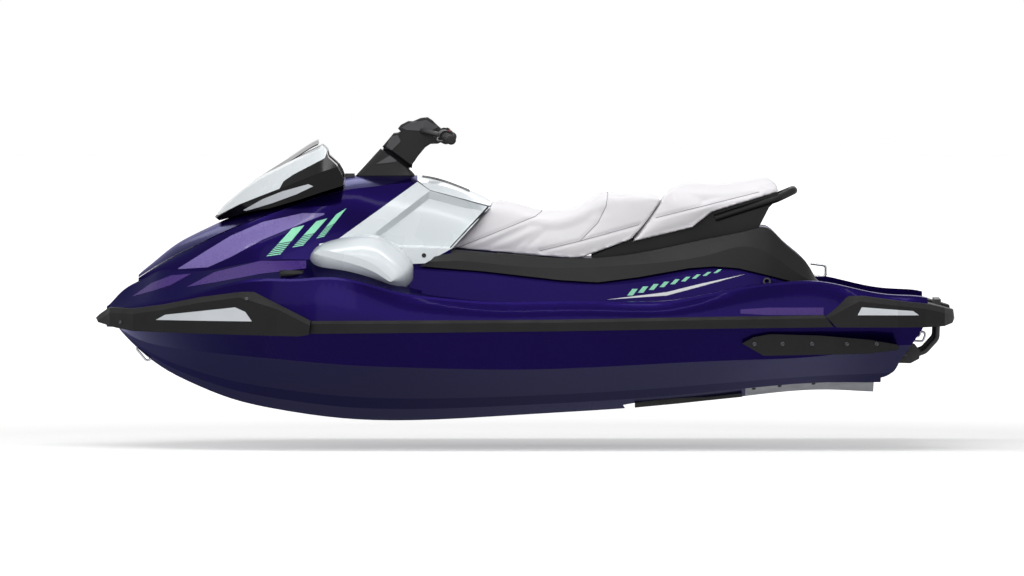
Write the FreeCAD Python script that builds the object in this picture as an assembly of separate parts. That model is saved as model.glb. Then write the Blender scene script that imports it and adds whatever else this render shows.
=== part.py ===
import FreeCAD, Part
import math
import os

from FreeCAD import Vector

# Frame: X towards the bow, Y to port, Z up, zero on the waterline at mid-length

# Hull and deck joint
sheer_height = 154.0
sheer_rise = -0.0125
deck_end = -1567.0
tray_wall = 12.0

# Clearances
seat_gap = 0.3
panel_gap = 3.0

# Hull lines, as station and value
keel_line = [(-1620, -82), (-1366, -101), (-1056, -126), (-864, -141), (-449, -183), (-60, -208), (290, -228), (520, -235),
             (796, -218), (1107, -161), (1263, -105), (1399, -39), (1508, 41), (1586, 122)]
chine_height = [(-1620, 66), (-1072, 31), (-449, 0), (-80, -18), (589, -7), (928, 16),
                (1337, 51), (1508, 82), (1586, 127)]
chine_breadth = [(-1620, 470), (-1072, 535), (-449, 558), (173, 555), (589, 532), (928, 452),
                 (1115, 362), (1337, 215), (1508, 66), (1586, 14)]
sheer_breadth = [(-1620, 515), (-1480, 550), (-1200, 580), (-600, 597), (0, 600), (400, 597),
                 (800, 568), (1100, 480), (1300, 382), (1450, 272), (1586, 118), (1640, 26)]
strake_shares = [0.25, 0.45]
strake_width = 0.03
strake_drop = 0.03
hull_stations = [-1620, -1200, -800, -400, 0, 400, 700, 950, 1150, 1300, 1400, 1480, 1540, 1586]
stern_outline = [[(1700, -300), (-1392, -300)], [(-1392, -300), (-1392, -62)],
                 [(-1392, -62), (-1436, -40), (-1461, 8)], [(-1461, 8), (-1551, 146)],
                 [(-1551, 146), (deck_end, 170)], [(deck_end, 170), (deck_end, 500)],
                 [(deck_end, 500), (1700, 500)], [(1700, 500), (1700, -300)]]

# Deck lines
gunwale_height = [(-1620, 232), (-1567, 239), (-1277, 297), (-1072, 325), (-899, 310), (-770, 287),
                  (-609, 255), (-400, 245), (165, 247), (368, 264), (519, 289), (679, 332),
                  (832, 337), (952, 336), (1107, 322), (1261, 283), (1395, 250), (1597, 214), (1640, 205)]
gunwale_lean = 42.0
gunwale_bevel = 9.0
shoulder_line = [(-1620, 232), (-1567, 239), (-1277, 297), (-1072, 325), (-899, 310), (-770, 287),
                 (-609, 255), (-400, 245), (165, 247), (473, 300), (640, 372), (832, 403), (1033, 397),
                 (1193, 366), (1368, 358), (1502, 319), (1597, 250), (1640, 208)]
shoulder_breadth = [(-1620, 440), (-1200, 495), (-600, 512), (0, 515), (294, 480), (473, 430),
                    (832, 392), (1033, 356), (1193, 296), (1368, 196), (1502, 66), (1597, 30), (1640, 6)]
deck_stations = [-1620, -1400, -1277, -1072, -899, -770, -609, -400, 0, 200, 368, 519, 679, 832,
                 1000, 1193, 1368, 1470, 1540, 1597, 1636]
gunwale_top = 52.0
footwell_outline = [[(455, 600), (455, 235)], [(455, 235), (410, 140), (320, 112)],
                    [(320, 112), (-820, 118)], [(-820, 118), (-1010, 160), (-1165, 276)],
                    [(-1165, 276), (-1330, 258), (-1700, 190)], [(-1700, 190), (-1700, 600)],
                    [(-1700, 600), (455, 600)]]

# Seat pedestal, as station and value
pedestal_foot = [(-1165, 268), (-900, 322), (-450, 300), (0, 296), (460, 330)]
pedestal_side = [(-1165, 232), (-900, 282), (-450, 268), (0, 262), (460, 300)]
pedestal_side_height = [(-1165, 290), (-1047, 314), (-964, 337), (-835, 369), (-705, 372), (-577, 350),
                        (-447, 334), (-286, 311), (-138, 322), (164, 357), (460, 382)]
pedestal_edge = [(-1165, 190), (-1040, 214), (-900, 226), (-650, 216), (-222, 196), (0, 202), (460, 262)]
pedestal_edge_height = [(-1165, 300), (-1140, 330), (-1084, 402), (-1009, 468), (-954, 520), (-893, 517),
                        (-577, 450), (-351, 411), (-228, 402), (-138, 404), (100, 424), (280, 440), (460, 450)]
pedestal_stations = [-1160, -1120, -1060, -1000, -950, -893, -735, -577, -351, -138, 100, 280, 450]
pedestal_crown = 2.0
pedestal_bevel_out = 8.0
pedestal_bevel_drop = 14.0
trim_depth = 9.0
trim_lift = 2.0
trim_crest_out = 11.0
trim_crest = [(-1165, 296), (-1120, 318), (-1072, 344), (-1000, 395), (-893, 450), (-735, 425), (-577, 396),
              (-447, 378), (-317, 376), (-138, 368), (164, 388), (460, 412)]
trim_inner = 186.0
trim_outline = [(380, 386), (319, 446), (280, 454), (-138, 420), (-228, 417), (-351, 425), (-577, 463),
                (-893, 529), (-950, 532), (-1014, 476), (-1094, 404), (-1152, 322), (-1047, 316), (-964, 338),
                (-835, 369), (-737, 376), (-641, 369), (-447, 334), (-286, 313), (-138, 322), (164, 357),
                (325, 370), (436, 380)]

# Upper body at the bow, as station and value
body_side = [(120, 238), (280, 262), (422, 300), (560, 336), (706, 362), (858, 368), (1000, 348),
             (1146, 304), (1250, 262), (1368, 190), (1440, 126), (1512, 46)]
body_side_height = [(120, 380), (435, 382), (832, 404), (1033, 398), (1193, 368), (1368, 359), (1440, 344),
                    (1512, 318)]
body_edge = [(120, 138), (280, 160), (422, 196), (560, 244), (706, 282), (858, 280), (1000, 262),
             (1146, 228), (1250, 194), (1368, 140), (1440, 96), (1512, 36)]
body_edge_height = [(120, 606), (293, 680), (416, 702), (560, 690), (706, 673), (858, 630), (1002, 578),
                    (1146, 523), (1250, 474), (1368, 416), (1440, 373), (1512, 326)]
body_crown = [(120, 617), (144, 635), (228, 674), (293, 699), (357, 718), (416, 724), (484, 731), (640, 724),
              (714, 718), (858, 672), (1000, 622), (1146, 564), (1255, 514), (1348, 467), (1410, 420),
              (1473, 370), (1512, 336)]
body_stations = [125, 200, 293, 370, 440, 560, 706, 858, 1000, 1146, 1250, 1368, 1440, 1490, 1511]
body_bulge = 12.0
body_foot = 150.0

# Hood and its storage tub
hood_end = 706.0
hood_wall = 9.0
tub_front = 1240.0
tub_back = 840.0
tub_half_width = 150.0
tub_floor = 250.0
tub_wall = 5.0

# Console, glovebox and its lid
lid_outline = [(416, 760), (417, 709), (370, 672), (135, 608), (110, 606), (110, 760)]
lid_gap = 3.0
lid_thickness = 9.0
glove_front = 352.0
glove_back = 214.0
glove_half_width = 84.0
glove_floor = 542.0
console_panel = 7.0
knee_top = [(142, 607), (372, 668), (601, 494)]
knee_bottom = [(142, 607), (290, 444), (488, 451), (601, 494)]
knee_stations = [110, 142, 181, 230, 290, 330, 372, 430, 488, 540, 575, 601, 640, 700, 770, 840]
knee_depth = 24.0
knee_fade = 60.0
knee_wall = 30.0
knee_ledge = 9.0
knee_bed = 2.0
console_outline = [(418, 704), (735, 478), (800, 466), (800, 404), (448, 386), (388, 388), (282, 446),
                   (135, 604), (368, 669)]

# Splash deflectors
deflector_points = [(832, 422), (816, 446), (738, 478), (641, 494), (570, 486), (512, 454), (461, 409),
                    (441, 370), (447, 330), (474, 292), (540, 296), (640, 316), (760, 342), (812, 374)]
deflector_crease = [(528, 312), (554, 343), (602, 377), (712, 419), (816, 441)]
crease_half = 3.0
deflector_steps = [(300, 0), (408, 0), (444, 0.2), (476, 0.52), (494, 0.86)]

# Pods with the visor caps and mirrors
pod_outline = [(1212, 564), (1177, 610), (1115, 660), (1041, 718), (1014, 734), (944, 769), (850, 817),
               (790, 847), (772, 829), (765, 802), (733, 774), (714, 743), (704, 716), (706, 693),
               (796, 665), (874, 638), (990, 603), (1099, 580), (1193, 549)]
visor_outline = [(1230, 572), (1212, 600), (1115, 700), (811, 900), (760, 860), (778, 800), (823, 776),
                 (901, 735), (940, 708), (956, 679), (1002, 661), (1113, 616), (1197, 572)]
blade_outline = [(1099, 593), (1021, 638), (944, 669), (842, 698), (823, 690), (889, 658), (982, 623), (1087, 590)]
pod_inner = [(690, 176), (800, 150), (950, 112), (1100, 62), (1215, 12)]
pod_outer = [(690, 402), (800, 384), (950, 300), (1100, 188), (1215, 62)]
pod_low = [(690, 690), (796, 660), (874, 634), (990, 598), (1099, 572), (1215, 545)]
pod_high = [(690, 880), (790, 850), (850, 820), (944, 772), (1014, 737), (1041, 721), (1115, 664), (1177, 614),
            (1215, 570)]
pod_stations = [692, 780, 870, 960, 1050, 1140, 1212]
blade_depth = 3.0
mirror_inset = 12.0
mirror_thickness = 4.0
windshield_thickness = 5.0
windshield_line = [(1176, 590), (1100, 662), (1014, 737), (912, 803), (838, 852), (806, 868)]
windshield_lap = 20.0
windshield_shoulder = 4.0
windshield_drop = 16.0

# Steering column, head, bar and grips
column_half_width = 74.0
column_top_half_width = 54.0
column_round = 18.0
steering_pivot = (496.0, 790.0)
steering_lean = 37.1
head_outline = [(556, 838), (512, 891), (495, 893), (485, 898), (495, 910), (484, 923), (455, 938), (437, 937),
                (406, 950), (379, 953), (361, 941), (343, 923), (322, 905), (317, 860), (339, 850), (368, 849),
                (388, 836), (415, 804), (428, 784), (438, 771), (441, 753)]
head_half_width = 56.0
head_round = 9.0
bar_radius = 11.0
bar_points = [(285, 372, 870), (316, 196, 882), (402, 52, 900)]
bar_bend = 60.0
grip_radius = 19.5
grip_length = 122.0
pod_length = 52.0
pod_radius = 27.0
lever_radius = 6.0
stem_radius = 14.0

# Seats
seat_front_gap = 3.0
seat_front_line = [(284, 445), (136, 604), (131, 627)]
front_seat_outline = [seat_front_line[:2], seat_front_line[1:], [(131, 627), (67, 619), (-62, 586),
                      (-157, 588), (-209, 602), (-254, 627), (-305, 659)], [(-305, 659), (-383, 650), (-512, 647),
                      (-536, 641)], [(-536, 641), (-473, 546), (-412, 478)], [(-412, 478), (-222, 408)],
                      [(-222, 408), (-138, 408)], [(-138, 408), (284, 445)]]
rear_seat_outline = [[(-541, 645), (-577, 682), (-705, 686), (-835, 695), (-944, 720)], [(-944, 720), (-989, 694)],
                     [(-989, 694), (-994, 666)], [(-994, 666), (-732, 588)], [(-732, 588), (-654, 526)],
                     [(-654, 526), (-422, 471)], [(-422, 471), (-480, 548), (-541, 645)]]
seat_half_width = [(-1010, 176), (-850, 206), (-600, 214), (-400, 214), (-200, 186), (0, 156), (150, 150), (300, 160)]
seat_top = [(-1010, 732), (-850, 704), (-600, 700), (-305, 668), (-157, 600), (-62, 596), (67, 630), (300, 660)]
seat_drop = 46.0
seat_low = 380.0
seat_stations = [-1005, -850, -700, -560, -420, -305, -200, -100, 0, 100, 200, 295]

# Seat base, tail and grab handle
base_outline = [(-262, 414), (-408, 474), (-648, 521), (-730, 586), (-986, 662), (-992, 640), (-955, 603),
                (-916, 527), (-905, 460), (-500, 380), (-262, 380)]
tail_half_width = 178.0
handle_radius = 15.0
handle_points = [(-745, 176, 562), (-985, 176, 638), (-1052, 100, 668)]
handle_bend = 42.0

# Bumpers, rails and inserts
rail_proud = 14.0
rail_top = [(-1300, 196), (-761, 188), (-138, 177), (900, 171)]
rail_bevel = 12.0
rail_outline = [(836, 121), (828, 171), (-138, 177), (-761, 188), (-1164, 194), (-1200, 147), (-761, 142),
                (-138, 132)]
front_bumper_outline = [(1679, 168), (1664, 182), (1622, 211), (1528, 209), (1408, 228), (1261, 259),
                        (1107, 281), (1053, 282), (831, 172), (838, 118), (879, 111), (1528, 122), (1596, 133),
                        (1669, 152)]
front_bumper_plan = [(826, 590), (960, 560), (1107, 502), (1261, 425), (1408, 330), (1528, 232), (1622, 128),
                     (1668, 52), (1679, 0)]
front_bumper_top = [(820, 167), (1053, 282), (1107, 281), (1261, 259), (1408, 228), (1528, 209), (1622, 211),
                    (1664, 182), (1690, 158)]
bumper_bevel = 20.0
front_insert_outline = [(1438, 168), (1401, 189), (1126, 222), (1086, 205), (1060, 168)]
rear_bumper_outline = [(-1164, 194), (-1202, 156), (-1212, 146), (-1561, 146), (-1632, 149), (-1664, 159),
                       (-1676, 175), (-1670, 210), (-1574, 236), (-1477, 246), (-1316, 268), (-1251, 268)]
rear_bumper_plan = [(-1160, 590), (-1300, 604), (-1450, 600), (-1560, 570), (-1634, 510), (-1668, 430),
                    (-1676, 330), (-1676, 240)]
rear_bumper_top = [(-1690, 206), (-1670, 210), (-1574, 236), (-1477, 246), (-1316, 268), (-1251, 268), (-1164, 194)]
rear_insert_outline = [(-1293, 194), (-1309, 225), (-1509, 210), (-1532, 193)]
insert_depth = 7.0

# Sponsons
sponson_outline = [(-845, 84), (-889, 108), (-954, 120), (-1148, 114), (-1342, 97), (-1448, 78), (-1455, 58),
                   (-1329, 43), (-928, 36)]
sponson_depth = 26.0

# Pump, ride plate and intake
pump_height = 30.0
pump_bore = 78.0
pump_wall = 12.0
pump_front = -1040.0
pump_length = 188.0
pump_outlet_radius = 40.0
outlet_wall = 9.0
impeller_gap = 0.6
impeller_length = 76.0
impeller_hub = 30.0
blade_count = 3
blade_thickness = 4.0
blade_twist = 95.0
shaft_radius = 12.5
shaft_front_gap = 6.0
bearing_depth = 20.0
stator_count = 6
tunnel_half_width = 134.0
duct_points = [(-1060, 30), (-960, 30), (-880, 16), (-760, -46), (-560, -150), (-420, -226)]
ride_plate_back = -1366.0
ride_plate_front = -864.0
ride_plate_half_width = 122.0
ride_plate_thickness = 14.0
grate_front = -432.0
grate_back = -852.0
grate_bar = 8.0
grate_rise = 1.0
grate_depth = 28.0
grate_count = 4
grate_pitch = 30.0

# Steering nozzle and reverse bucket
nozzle_pivot = -1272.0
nozzle_length = 106.0
nozzle_mouth = 64.0
nozzle_lap = 8.0
nozzle_bell = 24.0
nozzle_exit = 38.0
nozzle_wall = 7.0
pivot_pin_radius = 5.0
pin_fit = 0.05
bucket_radius = 122.0
bucket_wall = 5.0
bucket_half_width = 104.0
bucket_low = 32.0
bucket_high = 104.0
bracket_inner = 83.0
bracket_thickness = 6.0

# Engine
engine_back = -330.0
engine_front = 290.0
engine_half_width = 190.0
engine_floor = -118.0
engine_top = 300.0
engine_room = 18.0

# Fittings
eye_radius = 4.5
bow_eye_points = [(1500, 0, 62), (1530, 0, 58), (1478, 0, -4), (1450, 0, 20)]
eye_bend = 12.0
stern_eye_offset = 330.0
tow_eye_radius = 5.0
cleat_size = (92.0, 26.0, 26.0)
cleat_place = (906.0, 352.0)
cap_radius = 15.0
flush_place = (-945.0, 318.0)
flush_bore = 9.0
flush_depth = 16.0
flush_tilt = 20.0
cap_length = 44.0
drain_radius = 15.0
drain_offset = 230.0
drain_height = 40.0
drain_end = -1494.0
mat_thickness = 6.0

# Boarding step
step_radius = 12.0
step_pivot = (-1530.0, 30.0)
step_half_width = 165.0
step_bend = 34.0
step_pin_radius = 6.0
tread_depth = 46.0
tread_thickness = 26.0
ear_thickness = 6.0
ear_outline = [(-1440, -4), (-1508, -6), (-1542, 12), (-1546, 42), (-1532, 60), (-1470, 84)]


def slope_at(line, i):
    low = max(i - 1, 0)
    high = min(i + 1, len(line) - 1)
    return (line[high][1] - line[low][1]) / (line[high][0] - line[low][0])


def fair(line, x):
    # value at station x of a line that runs smoothly through its points
    i = 0
    while i < len(line) - 2 and x > line[i + 1][0]:
        i += 1
    x0, v0 = line[i]
    x1, v1 = line[i + 1]
    span = x1 - x0
    t = (x - x0) / span
    m0 = slope_at(line, i) * span
    m1 = slope_at(line, i + 1) * span
    rise = (3 * t ** 2 - 2 * t ** 3) * (v1 - v0)
    return v0 + rise + (t ** 3 - 2 * t ** 2 + t) * m0 + (t ** 3 - t ** 2) * m1


def straight(line, x):
    # value at station x of a line that runs straight between its points
    i = 0
    while i < len(line) - 2 and x > line[i + 1][0]:
        i += 1
    x0, v0 = line[i]
    x1, v1 = line[i + 1]
    share = min(max((x - x0) / (x1 - x0), 0), 1)
    return v0 + (v1 - v0) * share


def sheer(x):
    return sheer_height + sheer_rise * x


def edge_through(points):
    if len(points) == 2:
        return Part.LineSegment(points[0], points[1]).toShape()
    curve = Part.BSplineCurve()
    curve.interpolate(points)
    return curve.toShape()


def ring(x, runs, crown=None):
    # closed section at station x: port runs from the bottom up, mirrored to starboard
    port = [[Vector(x, y, z) for y, z in run] for run in runs]
    starboard = [[Vector(p.x, -p.y, p.z) for p in reversed(run)] for run in reversed(port)]
    bottom = port[0][0]
    top = port[-1][-1]
    edges = [edge_through(run) for run in port]
    across = [top, Vector(x, -top.y, top.z)]
    if crown is not None:
        across.insert(1, Vector(x, 0, crown))
    edges.append(edge_through(across))
    edges.extend(edge_through(run) for run in starboard)
    if bottom.y > 0:
        edges.append(edge_through([Vector(x, -bottom.y, bottom.z), bottom]))
    return Part.Wire(edges)


def loft(sections):
    return Part.makeLoft(sections, True, False)


def side_solid(points, inner, outer):
    # outline in the X-Z plane carried across from inner to outer
    corners = [Vector(x, inner, z) for x, z in points]
    face = Part.Face(Part.makePolygon(corners + corners[:1]))
    return face.extrude(Vector(0, outer - inner, 0))


def curved_side_solid(runs, inner, outer):
    edges = [edge_through([Vector(x, inner, z) for x, z in run]) for run in runs]
    return Part.Face(Part.Wire(edges)).extrude(Vector(0, outer - inner, 0))


def eased_side_solid(points, half_width, ease, scale):
    # outline carried across with its two faces drawn in towards the middle
    middle_x = sum(x for x, z in points) / len(points)
    middle_z = sum(z for x, z in points) / len(points)
    rings = []
    for y, size in ((-half_width, scale), (ease - half_width, 1), (half_width - ease, 1), (half_width, scale)):
        ring_points = [Vector(middle_x + (x - middle_x) * size, y, middle_z + (z - middle_z) * size)
                       for x, z in points]
        rings.append(Part.makePolygon(ring_points + ring_points[:1]))
    return Part.makeLoft(rings, True, True)


def rounded_frame(back, front, half_width, radius):
    # rounded rectangle between two points of the X-Z plane, carried to both sides
    a = Vector(back[0], 0, back[1])
    b = Vector(front[0], 0, front[1])
    along = (b - a).normalize()
    across = Vector(0, 1, 0)
    corners = [(a, 1, 1), (b, -1, 1), (b, -1, -1), (a, 1, -1)]
    edges = []
    for i, (point, inward, side) in enumerate(corners):
        corner = point + across * side * half_width
        on_long = corner + along * inward * radius
        on_short = corner - across * side * radius
        middle = corner + (along * inward - across * side) * radius * (1 - math.sqrt(0.5))
        ends = [on_short, on_long] if i in (0, 2) else [on_long, on_short]
        edges.append((ends[0], middle, ends[1]))
    wire = []
    for i, (start, middle, end) in enumerate(edges):
        wire.append(Part.Arc(start, middle, end).toShape())
        wire.append(Part.LineSegment(end, edges[(i + 1) % 4][0]).toShape())
    return Part.Wire(wire)


def plan_solid(points, low, high):
    corners = [Vector(x, y, low) for x, y in points]
    face = Part.Face(Part.makePolygon(corners + corners[:1]))
    return face.extrude(Vector(0, 0, high - low))


def box(x0, x1, y0, y1, z0, z1):
    return Part.makeBox(x1 - x0, y1 - y0, z1 - z0, Vector(x0, y0, z0))


def flipped(shape):
    return shape.mirror(Vector(0, 0, 0), Vector(0, 1, 0))


def pair(shape):
    return Part.makeCompound([shape, flipped(shape)])


def largest(shape):
    return max(shape.Solids, key=lambda solid: solid.Volume)


def tube(points, bend, radius):
    # straight runs joined by tangent elbows of one bend radius
    corners = [Vector(*p) for p in points]
    pieces = []
    start = corners[0]
    for before, corner, after in zip(corners, corners[1:], corners[2:]):
        back = (before - corner).normalize()
        ahead = (after - corner).normalize()
        turn = math.pi - back.getAngle(ahead)
        reach = bend * math.tan(turn / 2)
        elbow_start = corner + back * reach
        middle = (back + ahead).normalize()
        hub = corner + middle * (bend / math.cos(turn / 2))
        disc = Part.Face(Part.Wire(Part.makeCircle(radius, elbow_start, back)))
        pieces.append(Part.makeCylinder(radius, (elbow_start - start).Length, start, elbow_start - start))
        pieces.append(disc.revolve(hub, ahead.cross(back), math.degrees(turn)))
        start = corner + ahead * reach
    pieces.append(Part.makeCylinder(radius, (corners[-1] - start).Length, start, corners[-1] - start))
    return pieces[0].multiFuse(pieces[1:])


def looped(points, bend, radius):
    # tube from port over the middle plane to starboard
    return tube(points + [(x, -y, z) for x, y, z in reversed(points)], bend, radius)


def rod(start, end, radius):
    a = Vector(*start)
    b = Vector(*end)
    return Part.makeCylinder(radius, (b - a).Length, a, b - a)


def turned(profile, axis_height):
    # profile of (x, radius) turned about the pump axis
    points = [Vector(x, 0, axis_height + r) for x, r in profile]
    face = Part.Face(Part.makePolygon(points + points[:1]))
    return face.revolve(Vector(0, 0, axis_height), Vector(1, 0, 0), 360)


def save(name, shape):
    shape.exportStep("parts/" + name + ".step")


os.makedirs("parts", exist_ok=True)

# Hull and deck envelopes
def bottom_runs(keel, chine):
    # V bottom from keel to chine, stepped down at each strake
    rise = chine[1] - keel[1]
    runs = []
    start = keel
    for share in strake_shares:
        inner = (chine[0] * share, keel[1] + rise * share)
        lip = (chine[0] * (share + strake_width), keel[1] + rise * (share - strake_drop))
        runs.append([start, inner])
        runs.append([inner, lip])
        start = lip
    return runs + [[start, chine]]


hull_rings = []
for x in hull_stations:
    keel = (0, fair(keel_line, x))
    chine = (fair(chine_breadth, x), fair(chine_height, x))
    rail = (fair(sheer_breadth, x), sheer(x))
    hull_rings.append(ring(x, bottom_runs(keel, chine) + [[chine, rail]]))
stern_cut = curved_side_solid(stern_outline, -700, 700)
hull_form = loft(hull_rings).common(stern_cut)

deck_rings = []
for x in deck_stations:
    breadth = fair(sheer_breadth, x)
    rail = (breadth, sheer(x))
    crown = (max(breadth - gunwale_lean, 8), fair(gunwale_height, x))
    bevel = (crown[0] + gunwale_bevel, crown[1] - gunwale_bevel)
    swell = (breadth - gunwale_lean * 0.25, (rail[1] + crown[1]) / 2)
    inner = (min(fair(shoulder_breadth, x), crown[0] - 4), fair(shoulder_line, x) + 1)
    deck_rings.append(ring(x, [[rail, swell, bevel], [bevel, crown], [crown, inner]]))
deck_form = loft(deck_rings).common(stern_cut)


# Footwells and stern platform, one channel between the gunwales
def channel(grow):
    inside = [(x, fair(sheer_breadth, x) - gunwale_lean - gunwale_top + grow) for x in range(-1600, 500, 100)]
    plan = inside + [(x, -y) for x, y in reversed(inside)]
    lowered = [[(x + grow * (x > 400), z - grow) for x, z in run] for run in footwell_outline]
    return curved_side_solid(lowered, -700, 700).common(plan_solid(plan, 0, 700))


footwell = channel(0)
tray = channel(tray_wall)
sheer_floor = side_solid([(-1700, sheer(-1700)), (1700, sheer(1700)), (1700, -400), (-1700, -400)], -700, 700)
tray_body = tray.common(sheer_floor).common(stern_cut)

# Seat pedestal
def pedestal(grow):
    rings = []
    for x in pedestal_stations:
        foot = (fair(pedestal_foot, x) + grow, 90)
        side = (fair(pedestal_side, x) + grow, fair(pedestal_side_height, x))
        edge = (fair(pedestal_edge, x) + grow, fair(pedestal_edge_height, x))
        bevel = (side[0] + pedestal_bevel_out, side[1] - pedestal_bevel_drop)
        rings.append(ring(x, [[foot, bevel], [bevel, side], [side, edge]], edge[1] + pedestal_crown))
    return loft(rings)


def trim_form():
    # pedestal grown by the trim, with a crest between its two faces
    rings = []
    for x in pedestal_stations:
        foot = (fair(pedestal_foot, x) + trim_depth, 90)
        side = (fair(pedestal_side, x) + trim_depth, fair(pedestal_side_height, x))
        edge = (fair(pedestal_edge, x) + trim_depth, fair(pedestal_edge_height, x) + trim_lift)
        height = fair(trim_crest, x)
        share = (height - side[1]) / (edge[1] - side[1])
        crest = (side[0] + (edge[0] - side[0]) * share + trim_crest_out, height)
        rings.append(ring(x, [[foot, side], [side, crest], [crest, edge]], edge[1] + pedestal_crown))
    return loft(rings)


# Upper body at the bow
def upper_body(grow):
    rings = []
    for x in body_stations:
        side = (fair(body_side, x) + grow, fair(body_side_height, x))
        edge = (fair(body_edge, x) + grow, fair(body_edge_height, x))
        belly = ((side[0] + edge[0]) / 2 + body_bulge, (side[1] + edge[1]) / 2)
        rings.append(ring(x, [[(side[0], body_foot), side], [side, belly, edge]], fair(body_crown, x)))
    return loft(rings)


# Upper body with a knee recess in its side
def knee_body(grow):
    rings = []
    for x in knee_stations:
        side = (fair(body_side, x), fair(body_side_height, x))
        edge = (fair(body_edge, x), fair(body_edge_height, x))

        def flank(z, inward=0.0):
            share = (z - side[1]) / (edge[1] - side[1])
            breadth = side[0] + (edge[0] - side[0]) * share + 4 * body_bulge * share * (1 - share)
            return (breadth + grow - inward, z)

        room = straight(knee_top, x) - straight(knee_bottom, x)
        depth = knee_depth * min(room / knee_fade, 1)
        top = min(straight(knee_top, x), edge[1] - knee_ledge)
        bottom = min(straight(knee_bottom, x), top - knee_fade)
        wall = min(knee_wall, (top - bottom) * 0.4)
        floor = (bottom + knee_ledge, top - wall)
        runs = [[(side[0] + grow, body_foot), flank(side[1])],
                [flank(side[1]), flank((side[1] + bottom) / 2), flank(bottom)],
                [flank(bottom), flank(floor[0], depth)],
                [flank(floor[0], depth), flank((floor[0] + floor[1]) / 2, depth), flank(floor[1], depth)],
                [flank(floor[1], depth), flank(top)],
                [flank(top), flank((top + edge[1]) / 2), flank(edge[1])]]
        rings.append(ring(x, runs, fair(body_crown, x)))
    return Part.makeLoft(rings, True, True)


pedestal_form = pedestal(0)
body_form = upper_body(0)
panel_form = knee_body(console_panel)

# Engine and its room
engine_block = box(engine_back, engine_front, -engine_half_width, engine_half_width, engine_floor, engine_top)
engine_space = box(engine_back - engine_room, engine_front + engine_room, -engine_half_width - engine_room,
                   engine_half_width + engine_room, engine_floor, engine_top + engine_room)

# Pump tunnel and intake duct
tunnel = box(-1700, pump_front, -tunnel_half_width, tunnel_half_width, -300, 400)
duct_path = edge_through([Vector(x, 0, z) for x, z in duct_points])
duct_mouth = Part.Wire(Part.makeCircle(pump_bore, Vector(duct_points[0][0], 0, pump_height), Vector(1, 0, 0)))
duct = Part.Wire([duct_path]).makePipeShell([duct_mouth], True, False)

# Moulded hull and deck
hull = largest(hull_form.cut(tray).cut(tunnel).cut(duct).cut(engine_space))
deck_shell = deck_form.fuse(tray_body).cut(footwell)
deck = largest(deck_shell.fuse(pedestal_form.cut(hull_form)).cut(engine_space))
tub_space = box(tub_back - tub_wall, tub_front + tub_wall, -tub_half_width - tub_wall,
                tub_half_width + tub_wall, tub_floor - tub_wall, 700)
deck = largest(deck.cut(tub_space))

# Hood over the bow storage
edge_run = [(x, z) for x, z in body_edge_height if x >= hood_end]
hood_zone = side_solid([(hood_end, 900)] + [(hood_end, fair(body_edge_height, hood_end))] + edge_run[1:]
                       + [(1560, 326), (1560, 900)], -500, 500)
hood_shell = body_form.common(hood_zone)
under = [(x, z - panel_gap) for x, z in [(hood_end, fair(body_edge_height, hood_end))] + edge_run[1:]]
hood_space = side_solid([(hood_end - panel_gap, 900), (hood_end - panel_gap, under[0][1])] + under
                        + [(1560, 326 - panel_gap), (1560, 900)], -500, 500)
hood_core = upper_body(-hood_wall).translated(Vector(0, 0, -hood_wall))
hood_core = hood_core.common(box(hood_end + 2 * hood_wall, 1440, -400, 400, 100, 900))
hood = largest(hood_shell.cut(hood_core))

# Cowl, the fixed part of the upper body
lid_zone = side_solid(lid_outline, -400, 400)
lid_space = side_solid([(x + lid_gap * (x > 400) , z - lid_gap * (z < 740)) for x, z in lid_outline], -400, 400)
glove_space = box(glove_back - tub_wall, glove_front + tub_wall, -glove_half_width - tub_wall,
                  glove_half_width + tub_wall, glove_floor - tub_wall, 760)
seat_front = side_solid([(x + seat_front_gap, z) for x, z in seat_front_line] + [(60, 660), (60, 300), (287, 300)],
                        -400, 400)
panel_zone = side_solid(console_outline, 60, 500)
knee_outline = knee_top + knee_bottom[-2:0:-1]
knee_space = side_solid(knee_outline, 60, 500).common(panel_zone).cut(upper_body(-knee_depth - knee_bed))
cowl = body_form.cut(knee_space).cut(flipped(knee_space))
cowl = cowl.cut(hood_space).cut(lid_space).cut(glove_space).cut(tub_space).cut(seat_front)
cowl = largest(cowl.cut(deck).cut(hull_form))

# Storage tub and glovebox tub
storage_tub = box(tub_back - tub_wall, tub_front + tub_wall, -tub_half_width - tub_wall,
                  tub_half_width + tub_wall, tub_floor - tub_wall, 520)
storage_tub = storage_tub.cut(box(tub_back, tub_front, -tub_half_width, tub_half_width, tub_floor, 900))
storage_tub = largest(storage_tub.cut(hood_space))
glovebox_tub = box(glove_back - tub_wall, glove_front + tub_wall, -glove_half_width - tub_wall,
                   glove_half_width + tub_wall, glove_floor - tub_wall, 760)
glovebox_tub = glovebox_tub.cut(box(glove_back, glove_front, -glove_half_width, glove_half_width,
                                    glove_floor, 900))
glovebox_tub = largest(glovebox_tub.cut(lid_space))
lid_core = upper_body(-lid_thickness).translated(Vector(0, 0, -lid_thickness))
lid_core = lid_core.common(box(128 + lid_thickness, 400, -400, 400, 400, 900))
glovebox_lid = largest(body_form.common(lid_zone).cut(lid_core).cut(seat_front))

# Side panels and trims, thin skins over the body
console_side = panel_form.common(panel_zone).cut(upper_body(-knee_depth - knee_bed))
console_side = largest(console_side.cut(cowl).cut(deck).cut(body_form.common(seat_front)))
trim_skin = trim_form().common(side_solid(trim_outline, trim_inner, 500))
side_trim = largest(trim_skin.cut(pedestal_form).cut(body_form).cut(panel_form))

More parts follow.
